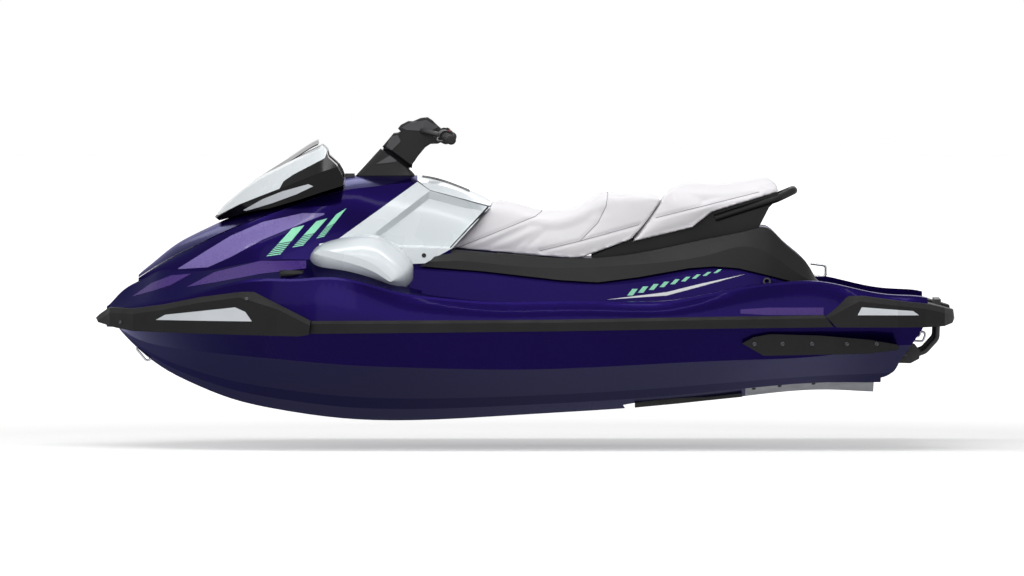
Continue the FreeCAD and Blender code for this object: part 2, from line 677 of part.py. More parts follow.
# Splash deflectors
nose = deflector_points[0][0]
tail = min(x for x, z in deflector_points)
crease_tail, crease_nose = deflector_crease[0][0], deflector_crease[-1][0]
deflector_rings = []
for y, drawn in deflector_steps:
    points = []
    for x, z in deflector_points:
        share = (nose - x) / (nose - tail)
        crease_x = crease_nose - (crease_nose - crease_tail) * share
        crease_z = fair(deflector_crease, crease_x)
        crease_z += crease_half if z > crease_z else -crease_half
        points.append(Vector(x + (crease_x - x) * drawn, y, z + (crease_z - z) * drawn))
    curve = Part.BSplineCurve()
    curve.interpolate(points, True)
    deflector_rings.append(Part.Wire([curve.toShape()]))
deflector = largest(loft(deflector_rings).cut(body_form).cut(panel_form).cut(deck))

# Pods with visor caps, mirror housings, glass and blades
def mirror_pod(grow):
    rings = []
    for x in pod_stations:
        low = fair(pod_low, x)
        high = fair(pod_high, x)
        inner = fair(pod_inner, x)
        outer = fair(pod_outer, x) + grow
        middle = low + (high - low) * 0.45
        corners = [(inner, low), (outer - 30, low), (outer, middle), (outer - 0.3 * (outer - inner), high - 12),
                   (inner + 10, high)]
        points = [Vector(x, y, z) for y, z in corners]
        rings.append(Part.makePolygon(points + points[:1]))
    return loft(rings)


pod_zone = side_solid(pod_outline, 0, 500)
visor_zone = side_solid(visor_outline, 0, 500)
pod_form = largest(mirror_pod(0).common(pod_zone).cut(body_form))
visor_cap = largest(pod_form.common(visor_zone))
mirror_housing = largest(pod_form.cut(visor_zone))
glass_low = (717, 712)
glass_high = (751, 768)
glass_strip = side_solid([glass_low, glass_high, (glass_high[0] + mirror_thickness, glass_high[1]),
                          (glass_low[0] + mirror_thickness, glass_low[1])], 190, 366)
pocket = side_solid([(glass_low[0] + mirror_thickness, glass_low[1]), (glass_high[0] + mirror_thickness, glass_high[1]),
                     (600, glass_high[1]), (600, glass_low[1])], 190, 366)
mirror_glass = largest(glass_strip.common(mirror_pod(-mirror_inset)))
mirror_housing = largest(mirror_housing.cut(pocket.common(mirror_pod(-mirror_inset))))
blade_skin = mirror_pod(blade_depth).common(side_solid(blade_outline, 0, 500))
accent_blade = largest(blade_skin.cut(mirror_pod(0)))

shield_rings = []
for x, z in reversed(windshield_line):
    breadth = fair(pod_inner, x) + windshield_lap
    shoulder = (breadth / 2, z - windshield_shoulder)
    rim = (breadth, z - windshield_drop)
    under_shoulder = (shoulder[0], shoulder[1] - windshield_thickness)
    under_rim = (rim[0], rim[1] - windshield_thickness)
    shield_rings.append(ring(x, [[under_shoulder, under_rim], [under_rim, rim], [rim, shoulder]], z))
windshield = largest(loft(shield_rings).cut(pod_form).cut(flipped(pod_form)).cut(body_form))

# Steering column and display
column_base = Part.makeLoft([rounded_frame((429, 690), (674, 690), column_half_width, column_round),
                             rounded_frame((430, 728), (658, 728), column_half_width, column_round),
                             rounded_frame((441, 741), (564, 830), column_top_half_width, column_round)], True, True)
column_base = largest(column_base.cut(cowl).cut(glove_space))
display = side_solid([(664, 734), (702, 734), (702, 700), (664, 700)], -62, 62)
display = largest(display.cut(cowl).cut(column_base))

# Handlebar
lean = math.radians(steering_lean)
steering_axis = Vector(-math.sin(lean), 0, math.cos(lean))
pivot = Vector(steering_pivot[0], 0, steering_pivot[1])
stem = Part.makeCylinder(stem_radius, 76, pivot - steering_axis * 36, steering_axis)
stem_bore = Part.makeCylinder(stem_radius + pin_fit, 46, pivot - steering_axis * 36.3, steering_axis)
column_base = largest(column_base.cut(stem_bore))
handlebar = looped(bar_points, bar_bend, bar_radius)
head = eased_side_solid(head_outline, head_half_width, head_round, 0.9)
steering_head = largest(head.cut(handlebar).cut(stem))
bar_inner = Vector(*bar_points[1])
bar_outer = Vector(*bar_points[0])
bar_way = (bar_outer - bar_inner).normalize()


def on_bar(radius, start, length):
    base = bar_outer - bar_way * start
    return Part.makeCylinder(radius, length, base - bar_way * length, bar_way)


bar_hole = on_bar(bar_radius, 0, 240)
grip = on_bar(grip_radius, -3, grip_length).cut(bar_hole)
switch_pod = on_bar(pod_radius, grip_length + 1, pod_length).cut(handlebar)
lever_pivot = bar_outer - bar_way * (grip_length + 14) + Vector(26, 0, -4)
lever_tip = bar_outer + Vector(34, -26, -6)
lever = rod(lever_pivot, lever_tip, lever_radius).cut(switch_pod)

# Seats
seat_rings = []
for x in seat_stations:
    width = fair(seat_half_width, x)
    top = fair(seat_top, x) + 30
    edge = (width - 26, top - seat_drop)
    side = (width, top - 2 * seat_drop)
    seat_rings.append(ring(x, [[(width - 6, seat_low), side], [side, (width - 6, top - 1.4 * seat_drop), edge]], top - 4))
seat_form = loft(seat_rings)
front_seat = largest(seat_form.common(curved_side_solid(front_seat_outline, -400, 400)))
rear_seat = largest(seat_form.common(curved_side_solid(rear_seat_outline, -400, 400)))

# Seat base and tail
seat_base = side_solid(base_outline, -tail_half_width, tail_half_width).cut(pedestal_form).cut(front_seat)
seat_base = largest(seat_base.cut(rear_seat).cut(cowl))
grab_handle = looped(handle_points, handle_bend, handle_radius).cut(seat_base).cut(rear_seat)
grab_handle = largest(grab_handle)

# Bumpers and rails
def band(outline, plan, low, high):
    outer = plan + [(x, -y) for x, y in reversed(plan) if y > 0]
    return side_solid(outline, -700, 700).common(plan_solid(outer, low, high))


def bevelled(plan, top_line, bevel):
    # everything inside the plan and under a 45 degree bevel along its upper edge
    rings = []
    for x, y in plan:
        top = straight(top_line, x)
        corners = [(0, -50), (y + bevel, -50), (y + bevel, top - 2 * bevel), (max(y - 2 * bevel, 1), top + bevel),
                   (0, top + bevel)]
        points = [Vector(x, side, height) for side, height in corners]
        rings.append(Part.makePolygon(points + points[:1]))
    return Part.makeLoft(rings, True, True)


rail_plan = [(x, fair(sheer_breadth, x) + rail_proud) for x in range(-1300, 1000, 100)]
rails = band(rail_outline, rail_plan, 0, 400).cut(hull_form).cut(deck_form)
rails = rails.common(bevelled(rail_plan, rail_top, rail_bevel))
rub_rail = largest(rails.common(box(-1700, 1700, 300, 700, 0, 400)))
bumper_reach = [(x, y + 12) for x, y in front_bumper_plan]
front_bumper = band(front_bumper_outline, [(700, 560)] + bumper_reach[:-1] + [(1679, 0)], 0, 400)
bumper_roof = bevelled(bumper_reach, front_bumper_top, bumper_bevel)
front_bumper = front_bumper.common(bumper_roof.fuse(flipped(bumper_roof)))
front_bumper = largest(front_bumper.cut(hull_form).cut(deck_form).cut(body_form).cut(pair(rub_rail)))
front_insert = side_solid(front_insert_outline, 200, 700).common(front_bumper)
insert_skin = plan_solid([(x, y - insert_depth) for x, y in bumper_reach] + [(700, 0), (700, 500)], 0, 400)
front_insert = largest(front_insert.cut(insert_skin))
front_bumper = largest(front_bumper.cut(pair(front_insert)))
rear_bumper = side_solid(rear_bumper_outline, 200, 700).common(
    plan_solid(rear_bumper_plan + [(-1400, 240), (-1160, 500)], 0, 400))
rear_reach = [(x, y) for x, y in reversed(rear_bumper_plan[:-1])]
rear_bumper = rear_bumper.common(bevelled(rear_reach, rear_bumper_top, bumper_bevel))
rear_bumper = largest(rear_bumper.cut(hull_form).cut(deck_form).cut(rub_rail))
rear_insert = side_solid(rear_insert_outline, 200, 700).common(rear_bumper)
rear_skin = plan_solid([(x, y - insert_depth) for x, y in rear_bumper_plan] + [(-1400, 200), (-1160, 400)], 0, 400)
rear_insert = largest(rear_insert.cut(rear_skin))
rear_bumper = largest(rear_bumper.cut(rear_insert))

# Sponsons
sponson_plan = [(x, fair(sheer_breadth, x) + sponson_depth - 24) for x in range(-1500, -700, 100)]
sponson = side_solid(sponson_outline, 400, 700).common(
    plan_solid(sponson_plan + [(-700, 300), (-1500, 300)], -100, 400))
sponson = largest(sponson.cut(hull_form))

# Pump housing with stator
pump_back = pump_front - pump_length
outer_radius = pump_bore + pump_wall
outlet_back = nozzle_pivot - 8
pump_skin = turned([(pump_front, 0), (pump_front, outer_radius), (pump_front - 120, outer_radius),
                    (pump_back, pump_outlet_radius + outlet_wall + 6), (pump_back - 4, pump_outlet_radius + outlet_wall),
                    (outlet_back, pump_outlet_radius + outlet_wall), (outlet_back, 0)], pump_height)
pump_duct = turned([(pump_front + 1, 0), (pump_front + 1, pump_bore), (pump_front - 120, pump_bore),
                    (pump_back, pump_outlet_radius + 6), (pump_back - 4, pump_outlet_radius),
                    (outlet_back - 1, pump_outlet_radius), (outlet_back - 1, 0)], pump_height)
stator_hub = turned([(pump_front - 96, 0), (pump_front - 96, impeller_hub), (pump_front - 140, impeller_hub),
                     (pump_back, 6), (pump_back, 0)], pump_height)
stator = stator_hub
for i in range(stator_count):
    vane = box(pump_front - 135, pump_front - 100, -2, 2, pump_height + 20, pump_height + pump_bore + 1)
    vane.rotate(Vector(0, 0, pump_height), Vector(1, 0, 0), 360 * i / stator_count)
    stator = stator.fuse(vane)
flange = box(pump_front - 10, pump_front, -tunnel_half_width, tunnel_half_width, pump_height - 88, pump_height + 96)
yaw_pin_reach = nozzle_mouth + nozzle_wall + 1
yaw_pins = Part.makeCylinder(pivot_pin_radius, 2 * yaw_pin_reach, Vector(nozzle_pivot, 0, pump_height - yaw_pin_reach),
                             Vector(0, 0, 1))
pump_housing = pump_skin.fuse(flange).fuse(yaw_pins).cut(pump_duct).fuse(stator)
pump_housing = largest(pump_housing)

# Impeller and shaft
impeller_front = pump_front - 10
hub = turned([(impeller_front, 0), (impeller_front, 18), (impeller_front - impeller_length, impeller_hub),
              (impeller_front - impeller_length, 0)], pump_height)
impeller = hub
tip = pump_bore - impeller_gap
for i in range(blade_count):
    rings = []
    for k in range(5):
        x = impeller_front - 6 - (impeller_length - 12) * k / 4
        angle = math.radians(360 * i / blade_count + blade_twist * k / 4)
        out = Vector(0, math.sin(angle), math.cos(angle))
        side = Vector(0, math.cos(angle), -math.sin(angle)) * (blade_thickness / 2)
        centre = Vector(x, 0, pump_height)
        corners = [centre + out * 15 - side, centre + out * tip - side, centre + out * tip + side,
                   centre + out * 15 + side]
        rings.append(Part.makePolygon(corners + corners[:1]))
    impeller = impeller.fuse(Part.makeLoft(rings, True, False))
impeller = impeller.common(Part.makeCylinder(tip, 400, Vector(impeller_front - 200, 0, pump_height), Vector(1, 0, 0)))
shaft_back = pump_front - 96 - bearing_depth
shaft_front = engine_back - shaft_front_gap
drive_shaft = rod((shaft_back, 0, pump_height), (shaft_front, 0, pump_height), shaft_radius)
impeller = largest(impeller.cut(drive_shaft))
bearing = rod((shaft_back - 0.3, 0, pump_height), (pump_front, 0, pump_height), shaft_radius + pin_fit)
pump_housing = largest(pump_housing.cut(bearing))
shaft_way = rod((impeller_front, 0, pump_height), (shaft_front + 10, 0, pump_height), shaft_radius + 1)
hull = largest(hull.cut(shaft_way))

# Steering nozzle
nozzle_back = nozzle_pivot - nozzle_length
nozzle_front = nozzle_pivot + nozzle_lap
nozzle_shoulder = nozzle_pivot - nozzle_bell
nozzle = turned([(nozzle_front, nozzle_mouth), (nozzle_front, nozzle_mouth + nozzle_wall),
                 (nozzle_shoulder, nozzle_mouth + nozzle_wall), (nozzle_back, nozzle_exit + nozzle_wall),
                 (nozzle_back, nozzle_exit), (nozzle_shoulder, nozzle_mouth)], pump_height)
nozzle_bores = Part.makeCylinder(pivot_pin_radius + pin_fit, 160, Vector(nozzle_pivot, 0, pump_height - 80),
                                 Vector(0, 0, 1))
nozzle = largest(nozzle.cut(nozzle_bores))

# Reverse bucket on two arms
hinge_z = pump_height
shell_outer = Part.makeCylinder(bucket_radius + bucket_wall, 2 * bucket_half_width,
                                Vector(nozzle_pivot, -bucket_half_width, hinge_z), Vector(0, 1, 0))
shell_inner = Part.makeCylinder(bucket_radius, 2 * bucket_half_width - 2 * bucket_wall,
                                Vector(nozzle_pivot, -bucket_half_width + bucket_wall, hinge_z), Vector(0, 1, 0))
sector = [(nozzle_pivot, hinge_z)]
for k in range(7):
    angle = math.radians(180 - bucket_low - (bucket_high - bucket_low) * k / 6)
    sector.append((nozzle_pivot + 200 * math.cos(angle), hinge_z + 200 * math.sin(angle)))
bucket = shell_outer.cut(shell_inner).common(side_solid(sector, -300, 300))
for side in (-1, 1):
    boss = Part.makeCylinder(16, bucket_wall, Vector(nozzle_pivot, side * bucket_half_width, hinge_z),
                             Vector(0, -side, 0))
    bucket = bucket.fuse(boss)
bucket_bore = Part.makeCylinder(pivot_pin_radius + pin_fit, 400, Vector(nozzle_pivot, -200, hinge_z), Vector(0, 1, 0))
bucket = largest(bucket.cut(bucket_bore))
bracket_plate = side_solid([(pump_front - 10, hinge_z + 40), (pump_front - 10, hinge_z - 40),
                            (nozzle_pivot - 12, hinge_z - 12), (nozzle_pivot - 12, hinge_z + 12)],
                           bracket_inner, bracket_inner + bracket_thickness)
hinge_pin = rod((nozzle_pivot, bracket_inner, hinge_z), (nozzle_pivot, bucket_half_width + 6, hinge_z), pivot_pin_radius)
bucket_bracket = bracket_plate.fuse(hinge_pin).cut(pump_housing)
bucket_bracket = largest(bucket_bracket)

# Ride plate and intake grate
ride_plate = hull_form.common(box(ride_plate_back, ride_plate_front, -ride_plate_half_width,
                                  ride_plate_half_width, -300, 60))
ride_plate = largest(ride_plate.cut(loft(hull_rings).translated(Vector(0, 0, ride_plate_thickness))).cut(duct))
hull = largest(hull.cut(ride_plate))
grate_line = [(x, fair(keel_line, x)) for x in (grate_back, -720, -600, grate_front)]
grate_path = [(x, z + grate_rise) for x, z in grate_line]
grate_path += [(x, z + grate_rise + grate_depth) for x, z in reversed(grate_line)]
bars = []
for i in range(grate_count):
    y = (i - (grate_count - 1) / 2) * grate_pitch
    bars.append(side_solid(grate_path, y - grate_bar / 2, y + grate_bar / 2))
cross = box(-640, -628, -1.5 * grate_pitch, 1.5 * grate_pitch, fair(keel_line, -634) + 6, fair(keel_line, -634) + 16)
intake_grate = bars[0].multiFuse(bars[1:] + [cross])
intake_grate = largest(intake_grate.cut(hull).cut(ride_plate))

# Fittings
bow_eye = tube(bow_eye_points, eye_bend, eye_radius).cut(hull)
bow_eye = largest(bow_eye)
stern_eye = tube([(-1500, stern_eye_offset, 128), (-1566, stern_eye_offset, 120), (-1552, stern_eye_offset, 84),
                  (-1490, stern_eye_offset, 90)], eye_bend, eye_radius)
stern_eye = largest(stern_eye.cut(hull).cut(deck))
tow_eye = tube([(-1120, 0, 380), (-1180, 0, 372), (-1180, 0, 330), (-1120, 0, 330)], eye_bend, tow_eye_radius)
tow_eye = largest(tow_eye.cut(deck))
cleat_x, cleat_z = cleat_place
cleat_y = fair(sheer_breadth, cleat_x) - gunwale_lean - 40
cleat = box(cleat_x - cleat_size[0] / 2, cleat_x + cleat_size[0] / 2, cleat_y - cleat_size[1],
            cleat_y + cleat_size[1] / 2, cleat_z - cleat_size[2] / 2, cleat_z + cleat_size[2] / 2)
cleat = largest(cleat.cut(deck).cut(cowl))

flush_x, flush_z = flush_place
flush_y = fair(pedestal_side, flush_x) + 14
flush_lean = math.radians(flush_tilt)
flush_way = Vector(0, math.cos(flush_lean), math.sin(flush_lean))
flush_mouth = Vector(flush_x, flush_y, flush_z)
flush_port = Part.makeCylinder(cap_radius, cap_length, flush_mouth - flush_way * cap_length, flush_way)
flush_hole = Part.makeCylinder(flush_bore, flush_depth + cap_radius, flush_mouth - flush_way * flush_depth, flush_way)
flush_port = largest(flush_port.cut(deck).cut(side_trim).cut(flush_hole))
deck = largest(deck.cut(flush_hole))
drain = rod((-1440, drain_offset, drain_height), (drain_end, drain_offset, drain_height), drain_radius)
drain = largest(drain.cut(hull))

# Mats
floor_mat = box(-860, 330, 200, 600, 100, 124).common(footwell).cut(deck)
floor_mat = largest(floor_mat.common(box(-860, 330, 0, 700, 60, 118 + mat_thickness)))
platform_mat = footwell.common(box(-1540, -1200, -430, 430, 150, 400))
platform_mat = largest(platform_mat.cut(platform_mat.translated(Vector(0, 0, mat_thickness))))

# Boarding step
px, pz = step_pivot
leg_y = step_half_width - step_radius
leg_points = [(px, leg_y, pz), (px - 34, leg_y, pz + 12), (px - 80, leg_y, pz + 62), (px - 84, leg_y, pz + 168)]
leg = tube(leg_points, step_bend, step_radius)
leg = leg.fuse(rod((px, leg_y - step_radius, pz), (px, leg_y + step_radius, pz), step_radius))
pin_bore = rod((px, -400, pz), (px, 400, pz), step_pin_radius + pin_fit)
tread = box(px - 84 - tread_thickness / 2, px - 84 + tread_thickness / 2, -step_half_width, step_half_width,
            pz + 168, pz + 168 + tread_depth)
boarding_step = largest(leg.fuse(flipped(leg)).fuse(tread).cut(pin_bore))
ear_y = leg_y + step_radius + 1
ear = side_solid(ear_outline, ear_y, ear_y + ear_thickness)
pin = rod((px, leg_y - step_radius - 4, pz), (px, ear_y + ear_thickness, pz), step_pin_radius)
step_bracket = largest(ear.fuse(pin).cut(hull).cut(deck))

save("hull", hull)
save("deck", deck)
save("engine_block", engine_block)
save("cowl", cowl)
save("hood", hood)
save("storage_tub", storage_tub)
save("glovebox_tub", glovebox_tub)
save("glovebox_lid", glovebox_lid)
save("console_panels", pair(console_side))
save("side_trims", pair(side_trim))
save("splash_deflectors", pair(deflector))
save("visor_caps", pair(visor_cap))
save("mirror_housings", pair(mirror_housing))
save("mirror_glass", pair(mirror_glass))
save("accent_blades", pair(accent_blade))
save("windshield", windshield)
save("column_base", column_base)
save("display", display)
save("steering_head", steering_head)
save("handlebar", handlebar)
save("grips", pair(grip))
save("switch_pods", pair(switch_pod))
save("levers", pair(lever))
save("front_seat", front_seat)
save("rear_seat", rear_seat)
save("seat_base", seat_base)
save("grab_handle", grab_handle)
save("rub_rails", pair(rub_rail))
save("front_bumper", front_bumper)
save("front_inserts", pair(front_insert))
save("rear_bumpers", pair(rear_bumper))
save("rear_inserts", pair(rear_insert))
save("sponsons", pair(sponson))
save("pump_housing", pump_housing)
save("impeller", impeller)
save("drive_shaft", drive_shaft)
save("steering_nozzle", nozzle)
save("reverse_bucket", bucket)
save("bucket_brackets", pair(bucket_bracket))
save("ride_plate", ride_plate)
save("intake_grate", intake_grate)
save("bow_eye", bow_eye)
save("stern_eyes", pair(stern_eye))
save("tow_eye", tow_eye)
save("bow_cleats", pair(cleat))
save("flush_port", flush_port)
save("floor_mats", pair(floor_mat))
save("platform_mat", platform_mat)
save("boarding_step", boarding_step)
save("step_brackets", pair(step_bracket))
save("drain_plugs", pair(drain))
save("steering_stem", stem)
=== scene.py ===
import math

import bmesh
import bpy
from mathutils import Matrix, Vector
from mathutils.bvhtree import BVHTree
from mathutils.kdtree import KDTree


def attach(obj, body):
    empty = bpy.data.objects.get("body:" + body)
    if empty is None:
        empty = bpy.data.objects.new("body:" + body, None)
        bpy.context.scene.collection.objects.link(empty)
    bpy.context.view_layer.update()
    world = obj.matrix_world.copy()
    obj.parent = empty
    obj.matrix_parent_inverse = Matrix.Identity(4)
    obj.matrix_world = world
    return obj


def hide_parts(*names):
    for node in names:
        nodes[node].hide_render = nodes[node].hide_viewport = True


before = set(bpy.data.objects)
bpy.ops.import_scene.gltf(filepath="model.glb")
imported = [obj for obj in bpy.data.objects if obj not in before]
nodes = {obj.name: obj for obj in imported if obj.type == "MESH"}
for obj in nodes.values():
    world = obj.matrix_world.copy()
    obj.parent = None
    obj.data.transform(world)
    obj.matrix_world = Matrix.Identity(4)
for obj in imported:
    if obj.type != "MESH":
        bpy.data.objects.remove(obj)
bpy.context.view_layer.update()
print("frame loaded with", len(nodes), "nodes")

# Values that many pieces share, in metres
sides = (1, -1)         # port, starboard
outside = 1.2           # a place beyond the craft, from where rays look inward
mmInMetre = 1000

# How a finish is built: its noise detail, and the part of the noise that the roughness drifts over
pattern = {"driftDetail": 3, "grainDetail": 2, "driftFrom": 0.3, "driftTo": 0.7}


# Colours and nodes
def linear(code):
    # sRGB hex to the linear values that the sockets take
    parts = [int(code[i:i + 2], 16) / 255 for i in (1, 3, 5)]
    return [c / 12.92 if c < 0.0405 else ((c + 0.055) / 1.055) ** 2.4 for c in parts] + [1.0]


def addNode(tree, kind, inputs=None, **settings):
    node = tree.nodes.new(kind)
    for name, value in settings.items():
        setattr(node, name, value)
    for name, value in (inputs or {}).items():
        if isinstance(value, bpy.types.NodeSocket):
            tree.links.new(value, node.inputs[name])
        else:
            node.inputs[name].default_value = value
    return node


def surface(name, look):
    # Colour drift, roughness drift and grain, each at its real size in millimetres
    material = bpy.data.materials.new(name)
    material.use_nodes = True
    tree = material.node_tree
    shader = tree.nodes["Principled BSDF"]
    place = addNode(tree, "ShaderNodeTexCoord")
    inMm = addNode(tree, "ShaderNodeMapping", {"Vector": place.outputs["Object"], "Scale": (mmInMetre,) * 3})
    drift = addNode(tree, "ShaderNodeTexNoise", {"Vector": inMm.outputs[0], "Scale": 1 / look["driftMm"],
                                                 "Detail": pattern["driftDetail"]})
    colour = addNode(tree, "ShaderNodeMix", {"Factor": drift.outputs["Fac"], 6: linear(look["colour"]),
                                             7: linear(look["shade"])}, data_type="RGBA")
    tree.links.new(colour.outputs[2], shader.inputs["Base Color"])
    rough = addNode(tree, "ShaderNodeMapRange", {
        "Value": drift.outputs["Fac"], "From Min": pattern["driftFrom"], "From Max": pattern["driftTo"],
        "To Min": look["rough"][0], "To Max": look["rough"][1]})
    tree.links.new(rough.outputs[0], shader.inputs["Roughness"])
    if look["grain"] == "cells":
        grain = addNode(tree, "ShaderNodeTexVoronoi", {
            "Vector": inMm.outputs[0], "Scale": 1 / look["grainMm"]}, feature="SMOOTH_F1")
        height = grain.outputs["Distance"]
    else:
        grain = addNode(tree, "ShaderNodeTexNoise", {
            "Vector": inMm.outputs[0], "Scale": 1 / look["grainMm"], "Detail": pattern["grainDetail"]})
        height = grain.outputs["Fac"]
    bump = addNode(tree, "ShaderNodeBump", {"Height": height, "Strength": look["grainStrength"],
                                            "Distance": look["grainDepthMm"] / mmInMetre})
    tree.links.new(bump.outputs[0], shader.inputs["Normal"])
    for socket, value in look.get("fixed", {}).items():
        shader.inputs[socket].default_value = value
    return material


def nodeOf(material, kind):
    # The first node of a kind in a material
    return next(node for node in material.node_tree.nodes if node.bl_idname == kind)


